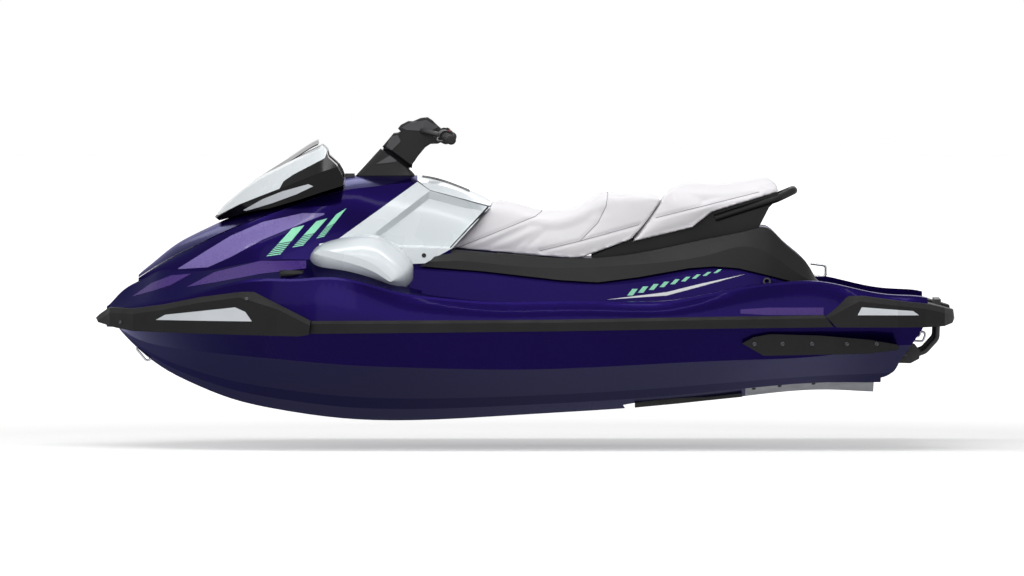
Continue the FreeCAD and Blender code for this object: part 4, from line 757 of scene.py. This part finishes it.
def leverBlade():
    pivot = gripOuter + gripAxis * levers["pivotFromOuter"] + Vector(levers["pivotShift"])
    tip = gripOuter + Vector(levers["tipShift"])
    last = len(levers["tapers"]) - 1
    line = [pivot.lerp(tip, i / last) + Vector(levers["bulge"]) * math.sin(math.pi * i / last)
            for i in range(last + 1)]
    return cordAlong(line, levers["radius"], levers["tapers"])


lever = addPiece("bent_levers", withMirror(leverBlade()), "steel_powder_coated", "handlebar_body")
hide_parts("levers")

# Buttons on the switch pods: two rows that face the rider, the stop button on port in red
buttons = {"fromOuter": (0.137, 0.152, 0.167), "angles": (20, 62), "podRadius": 0.027, "radius": 0.0052,
           "height": 0.0026, "steps": 16, "cap": [(-0.4, 0), (-0.4, 1), (0.75, 1), (1.0, 0.8), (0.92, 0)],
           "stop": (0.137, 62)}


def buttonCap(along, angle):
    turn = math.radians(angle)
    outward = Vector((-math.cos(turn), 0, math.sin(turn)))
    outward -= gripAxis * outward.dot(gripAxis)
    outward.normalize()
    place = gripOuter + gripAxis * along + outward * buttons["podRadius"]
    profile = [(height * buttons["height"], wide * buttons["radius"]) for height, wide in buttons["cap"]]
    return turnedPart(profile, place, outward, buttons["steps"])


spots = [(along, angle) for along in buttons["fromOuter"] for angle in buttons["angles"]]
caps = merged([buttonCap(*spot) for spot in spots if spot != buttons["stop"]])
addPiece("switch_buttons", withMirror(caps), "rubber_moulded_black", "handlebar_body", smooth=False)
addPiece("stop_button", buttonCap(*buttons["stop"]), "abs_moulded_red", "handlebar_body", smooth=False)

# Bellows between column and head: folded rubber that closes the gap round the stem; levels as (rise, share)
bellows = {
    "middle": (0.4985, 0.0, 0.7955), "along": (0.804, 0.0, 0.594), "up": (-0.594, 0.0, 0.804),
    "halfLength": 0.067, "halfWidth": 0.048, "steps": 48, "squareness": 0.5,
    "levels": [(-0.0096, 0.90), (-0.0084, 1.0), (-0.0064, 0.92), (-0.0044, 1.0), (-0.0026, 0.92),
               (-0.0008, 1.0)],
}


def steeringBellows():
    mesh = bmesh.new()
    loops = []
    for rise, share in bellows["levels"]:
        loop = []
        for i in range(bellows["steps"]):
            turn = math.tau * i / bellows["steps"]
            ahead, beside = [math.copysign(abs(value) ** bellows["squareness"], value)
                             for value in (math.cos(turn), math.sin(turn))]
            loop.append(mesh.verts.new(Vector(bellows["middle"]) + Vector(bellows["up"]) * rise
                                       + Vector(bellows["along"]) * bellows["halfLength"] * share * ahead
                                       + Vector((0, bellows["halfWidth"] * share * beside, 0))))
        loops.append([mesh.edges.new(ends) for ends in zip(loop, loop[1:] + loop[:1])])
    for low, high in zip(loops, loops[1:]):
        bmesh.ops.bridge_loops(mesh, edges=low + high)
    bmesh.ops.holes_fill(mesh, edges=mesh.edges[:], sides=0)
    bmesh.ops.recalc_face_normals(mesh, faces=mesh.faces[:])
    return mesh


addPiece("steering_bellows", steeringBellows(), "rubber_moulded_black", "handlebar_body", smooth=False)

# Seal along the rear edge of each console panel, where the seat begins
seal = {"line": [(0.2892, 0.4475), (0.1425, 0.6045)], "radius": 0.0034, "pitch": 0.008,
        "nodes": ["console_panels", "cowl", "front_seat", "deck"]}
sealRun = [onPort(seal["nodes"], x, z)[0] for x, z in evenly(seal["line"], seal["pitch"])]
addPiece("console_seals", withMirror(cordAlong(sealRun, seal["radius"])), "rubber_moulded_black", "craft")

# Pop-up cleats: an oval base and a horn on two posts
cleats = {"middle": (0.906, 0.352), "base": (0.046, 0.0075, 0.013), "horn": (0.030, 0.0048, 0.0052),
          "lift": 0.010, "segments": 32, "rings": 16, "posts": (-0.014, 0.014), "post": 0.004,
          "postFoot": 1.4, "footHeight": 0.004, "postSteps": 16}


def cleatHorn():
    point, normal = onPort(["bow_cleats"], *cleats["middle"])
    placed = Matrix.Translation(point) @ normal.to_track_quat("Y", "Z").to_matrix().to_4x4()
    parts = []
    for size, out in ((cleats["base"], 0.0), (cleats["horn"], cleats["lift"])):
        lobe = bmesh.new()
        bmesh.ops.create_uvsphere(lobe, u_segments=cleats["segments"], v_segments=cleats["rings"], radius=1)
        bmesh.ops.scale(lobe, vec=size, verts=lobe.verts[:])
        bmesh.ops.translate(lobe, vec=(0, out, 0), verts=lobe.verts[:])
        bmesh.ops.transform(lobe, matrix=placed, verts=lobe.verts[:])
        parts.append(lobe)
    profile = [(0, 0), (0, cleats["post"] * cleats["postFoot"]), (cleats["footHeight"], cleats["post"]),
               (cleats["lift"], cleats["post"]), (cleats["lift"], 0)]
    for shift in cleats["posts"]:
        parts.append(turnedPart(profile, placed @ Vector((shift, 0, 0)), normal, cleats["postSteps"]))
    return merged(parts)


addPiece("cleat_horns", withMirror(cleatHorn()), "rubber_moulded_black", "craft")

# Cheeks of the steering head and facets of the column: raised panels over the CAD shells, outlined in (x, z),
# in the lighter finish that paints the highlight on these lit facets
highlight_cheeks = {
    "height": 0.0022, "reach": (0.01, 0.2),
    "panels": {
        "steering_head": ("handlebar_body", [
            [(0.5460, 0.8330), (0.5190, 0.8780), (0.4961, 0.8850), (0.4845, 0.8599), (0.5190, 0.8250)],
            [(0.4820, 0.9130), (0.4533, 0.9310), (0.3833, 0.9440), (0.3400, 0.9144), (0.3677, 0.8988),
             (0.4610, 0.9040)]]),
        "column_base": ("craft", [
            [(0.5817, 0.7704), (0.5272, 0.8039), (0.5000, 0.7836), (0.5078, 0.7782)]]),
    },
}
for nodeName, (body, outlines) in highlight_cheeks["panels"].items():
    panels = [raised(skinInside(nodeName, corners, side, highlight_cheeks["reach"], 0.0), highlight_cheeks["height"])
              for side in sides for corners in outlines]
    addPiece(nodeName + "_cheeks", merged(panels), "abs_textured_painted_highlight", body, smooth=False)

# Gasket: soft black lip on the deck between the seats and the side trims
gasket = {"stations": [(0.300, 0.386, 0.462), (0.126, 0.386, 0.470), (-0.230, 0.386, 0.452)],
          "reach": (0.09, 0.32), "height": 0.001}
addPiece("seat_gaskets", merged(bandStrips("deck", gasket["stations"], gasket["reach"], gasket["height"])),
         "polypropylene_satin_charcoal", "craft")

filmBand("stern_patches", "deck", films["stern"], "film_violet_mottled", films["sternReach"])

# Plain black strip on the glovebox lid, from ahead to behind and from port to starboard
lidStrip = {"ahead": 0.400, "behind": 0.215, "halfWidth": 0.088, "height": 0.0012}
stripPlanes = [((lidStrip["ahead"], 0, 0), (1, 0, 0)), ((lidStrip["behind"], 0, 0), (-1, 0, 0)),
               ((0, lidStrip["halfWidth"], 0), (0, 1, 0)), ((0, -lidStrip["halfWidth"], 0), (0, -1, 0))]
addPiece("lid_strip", raised(skinWithin("glovebox_lid", stripPlanes, (0, 0, 1), 0.0), lidStrip["height"]),
         "polypropylene_satin_charcoal", "lid_body", smooth=False)
print("fixings, grips and trim added")

# Studio: pale floor, soft lamps, camera at the port beam; lamps as (place, size, watts)
studio = {
    "floorHeight": -0.335, "floorRadius": 60.0, "floorSteps": 96, "floorColour": "#ececec", "floorRough": 0.9,
    "floorGloss": 0.1, "nearLift": 0.36, "liftFrom": 2.5, "liftTo": 7.0, "white": (1, 1, 1, 1), "world": 0.26,
    "target": (0.049, 0.0, 0.284), "cameraDistance": 70.0, "cameraRise": 1.5, "lens": 628.4, "sensor": 36,
    "clipEnd": 400, "lampAim": (0, 0, 0.3),
    "lamps": {"overhead_strip": ((0.2, 1.0, 3.6), (6.0, 0.6), 80),
              "edge_strip": ((0.2, 2.6, 3.0), (7.0, 0.12), 26),
              "front_fill": ((0.4, 7.0, 2.4), (6.0, 3.0), 95),
              "bow_side": ((2.4, 4.5, 2.6), (3.0, 2.0), 30),
              "far_side": ((0.0, -4.5, 3.0), (6.0, 1.0), 45)},
}


def seenRays(tree, clamped):
    # 1 for the rays that show the background: from the camera, off gloss or through glass
    path = addNode(tree, "ShaderNodeLightPath")
    direct = addNode(tree, "ShaderNodeMath", {
        0: path.outputs["Is Camera Ray"], 1: path.outputs["Is Glossy Ray"]}, operation="ADD")
    return addNode(tree, "ShaderNodeMath", {
        0: direct.outputs[0], 1: path.outputs["Is Transmission Ray"]}, operation="ADD", use_clamp=clamped)


def floorPaint():
    # Floor paint, rolled on matt: white, and lifted a little for the rays that see it as the background
    material = bpy.data.materials.new("floor_matt_paint")
    material.use_nodes = True
    tree = material.node_tree
    shader = tree.nodes["Principled BSDF"]
    shader.inputs["Base Color"].default_value = linear(studio["floorColour"])
    shader.inputs["Roughness"].default_value = studio["floorRough"]
    shader.inputs["Specular IOR Level"].default_value = studio["floorGloss"]
    shader.inputs["Emission Color"].default_value = studio["white"]
    place = addNode(tree, "ShaderNodeTexCoord")
    away = addNode(tree, "ShaderNodeVectorMath", {0: place.outputs["Object"]}, operation="LENGTH")
    farther = addNode(tree, "ShaderNodeMapRange", {
        "Value": away.outputs["Value"], "From Min": studio["liftFrom"], "From Max": studio["liftTo"],
        "To Min": studio["nearLift"], "To Max": 1.0})
    lift = addNode(tree, "ShaderNodeMath", {0: seenRays(tree, False).outputs[0], 1: farther.outputs[0]},
                   operation="MULTIPLY")
    tree.links.new(lift.outputs[0], shader.inputs["Emission Strength"])
    return material


def studioFloor():
    mesh = bmesh.new()
    bmesh.ops.create_circle(mesh, cap_ends=True, segments=studio["floorSteps"], radius=studio["floorRadius"])
    bmesh.ops.translate(mesh, verts=mesh.verts[:], vec=(0, 0, studio["floorHeight"]))
    data = bpy.data.meshes.new("floor")
    mesh.to_mesh(data)
    mesh.free()
    data.materials.append(floorPaint())
    return linked("floor", data)


def studioAir():
    air = bpy.data.worlds.new("studio_air")
    air.use_nodes = True
    tree = air.node_tree
    background = tree.nodes["Background"]
    background.inputs["Color"].default_value = studio["white"]
    strength = addNode(tree, "ShaderNodeMapRange", {"Value": seenRays(tree, True).outputs[0],
                                                    "To Min": studio["world"], "To Max": 1.0})
    tree.links.new(strength.outputs[0], background.inputs["Strength"])
    return air


def areaLamp(name, place, size, watts):
    lamp = bpy.data.lights.new(name, "AREA")
    lamp.shape = "RECTANGLE"
    lamp.size, lamp.size_y = size
    lamp.energy = watts
    light = linked(name, lamp)
    light.location = place
    light.rotation_euler = (Vector(studio["lampAim"]) - Vector(place)).to_track_quat("-Z", "Y").to_euler()


floor = studioFloor()
bpy.context.scene.world = studioAir()
for name, (place, size, watts) in studio["lamps"].items():
    areaLamp(name, place, size, watts)

rise = math.radians(studio["cameraRise"])
towards = Vector((0, math.cos(rise), math.sin(rise)))
lens = bpy.data.cameras.new("camera")
lens.lens = studio["lens"]
lens.sensor_width = studio["sensor"]
lens.clip_end = studio["clipEnd"]
camera = linked("camera", lens)
camera.location = Vector(studio["target"]) + towards * studio["cameraDistance"]
camera.rotation_euler = (-towards).to_track_quat("-Z", "Y").to_euler()
bpy.context.scene.camera = camera
bpy.context.scene.view_settings.view_transform = "Standard"
print("studio ready")
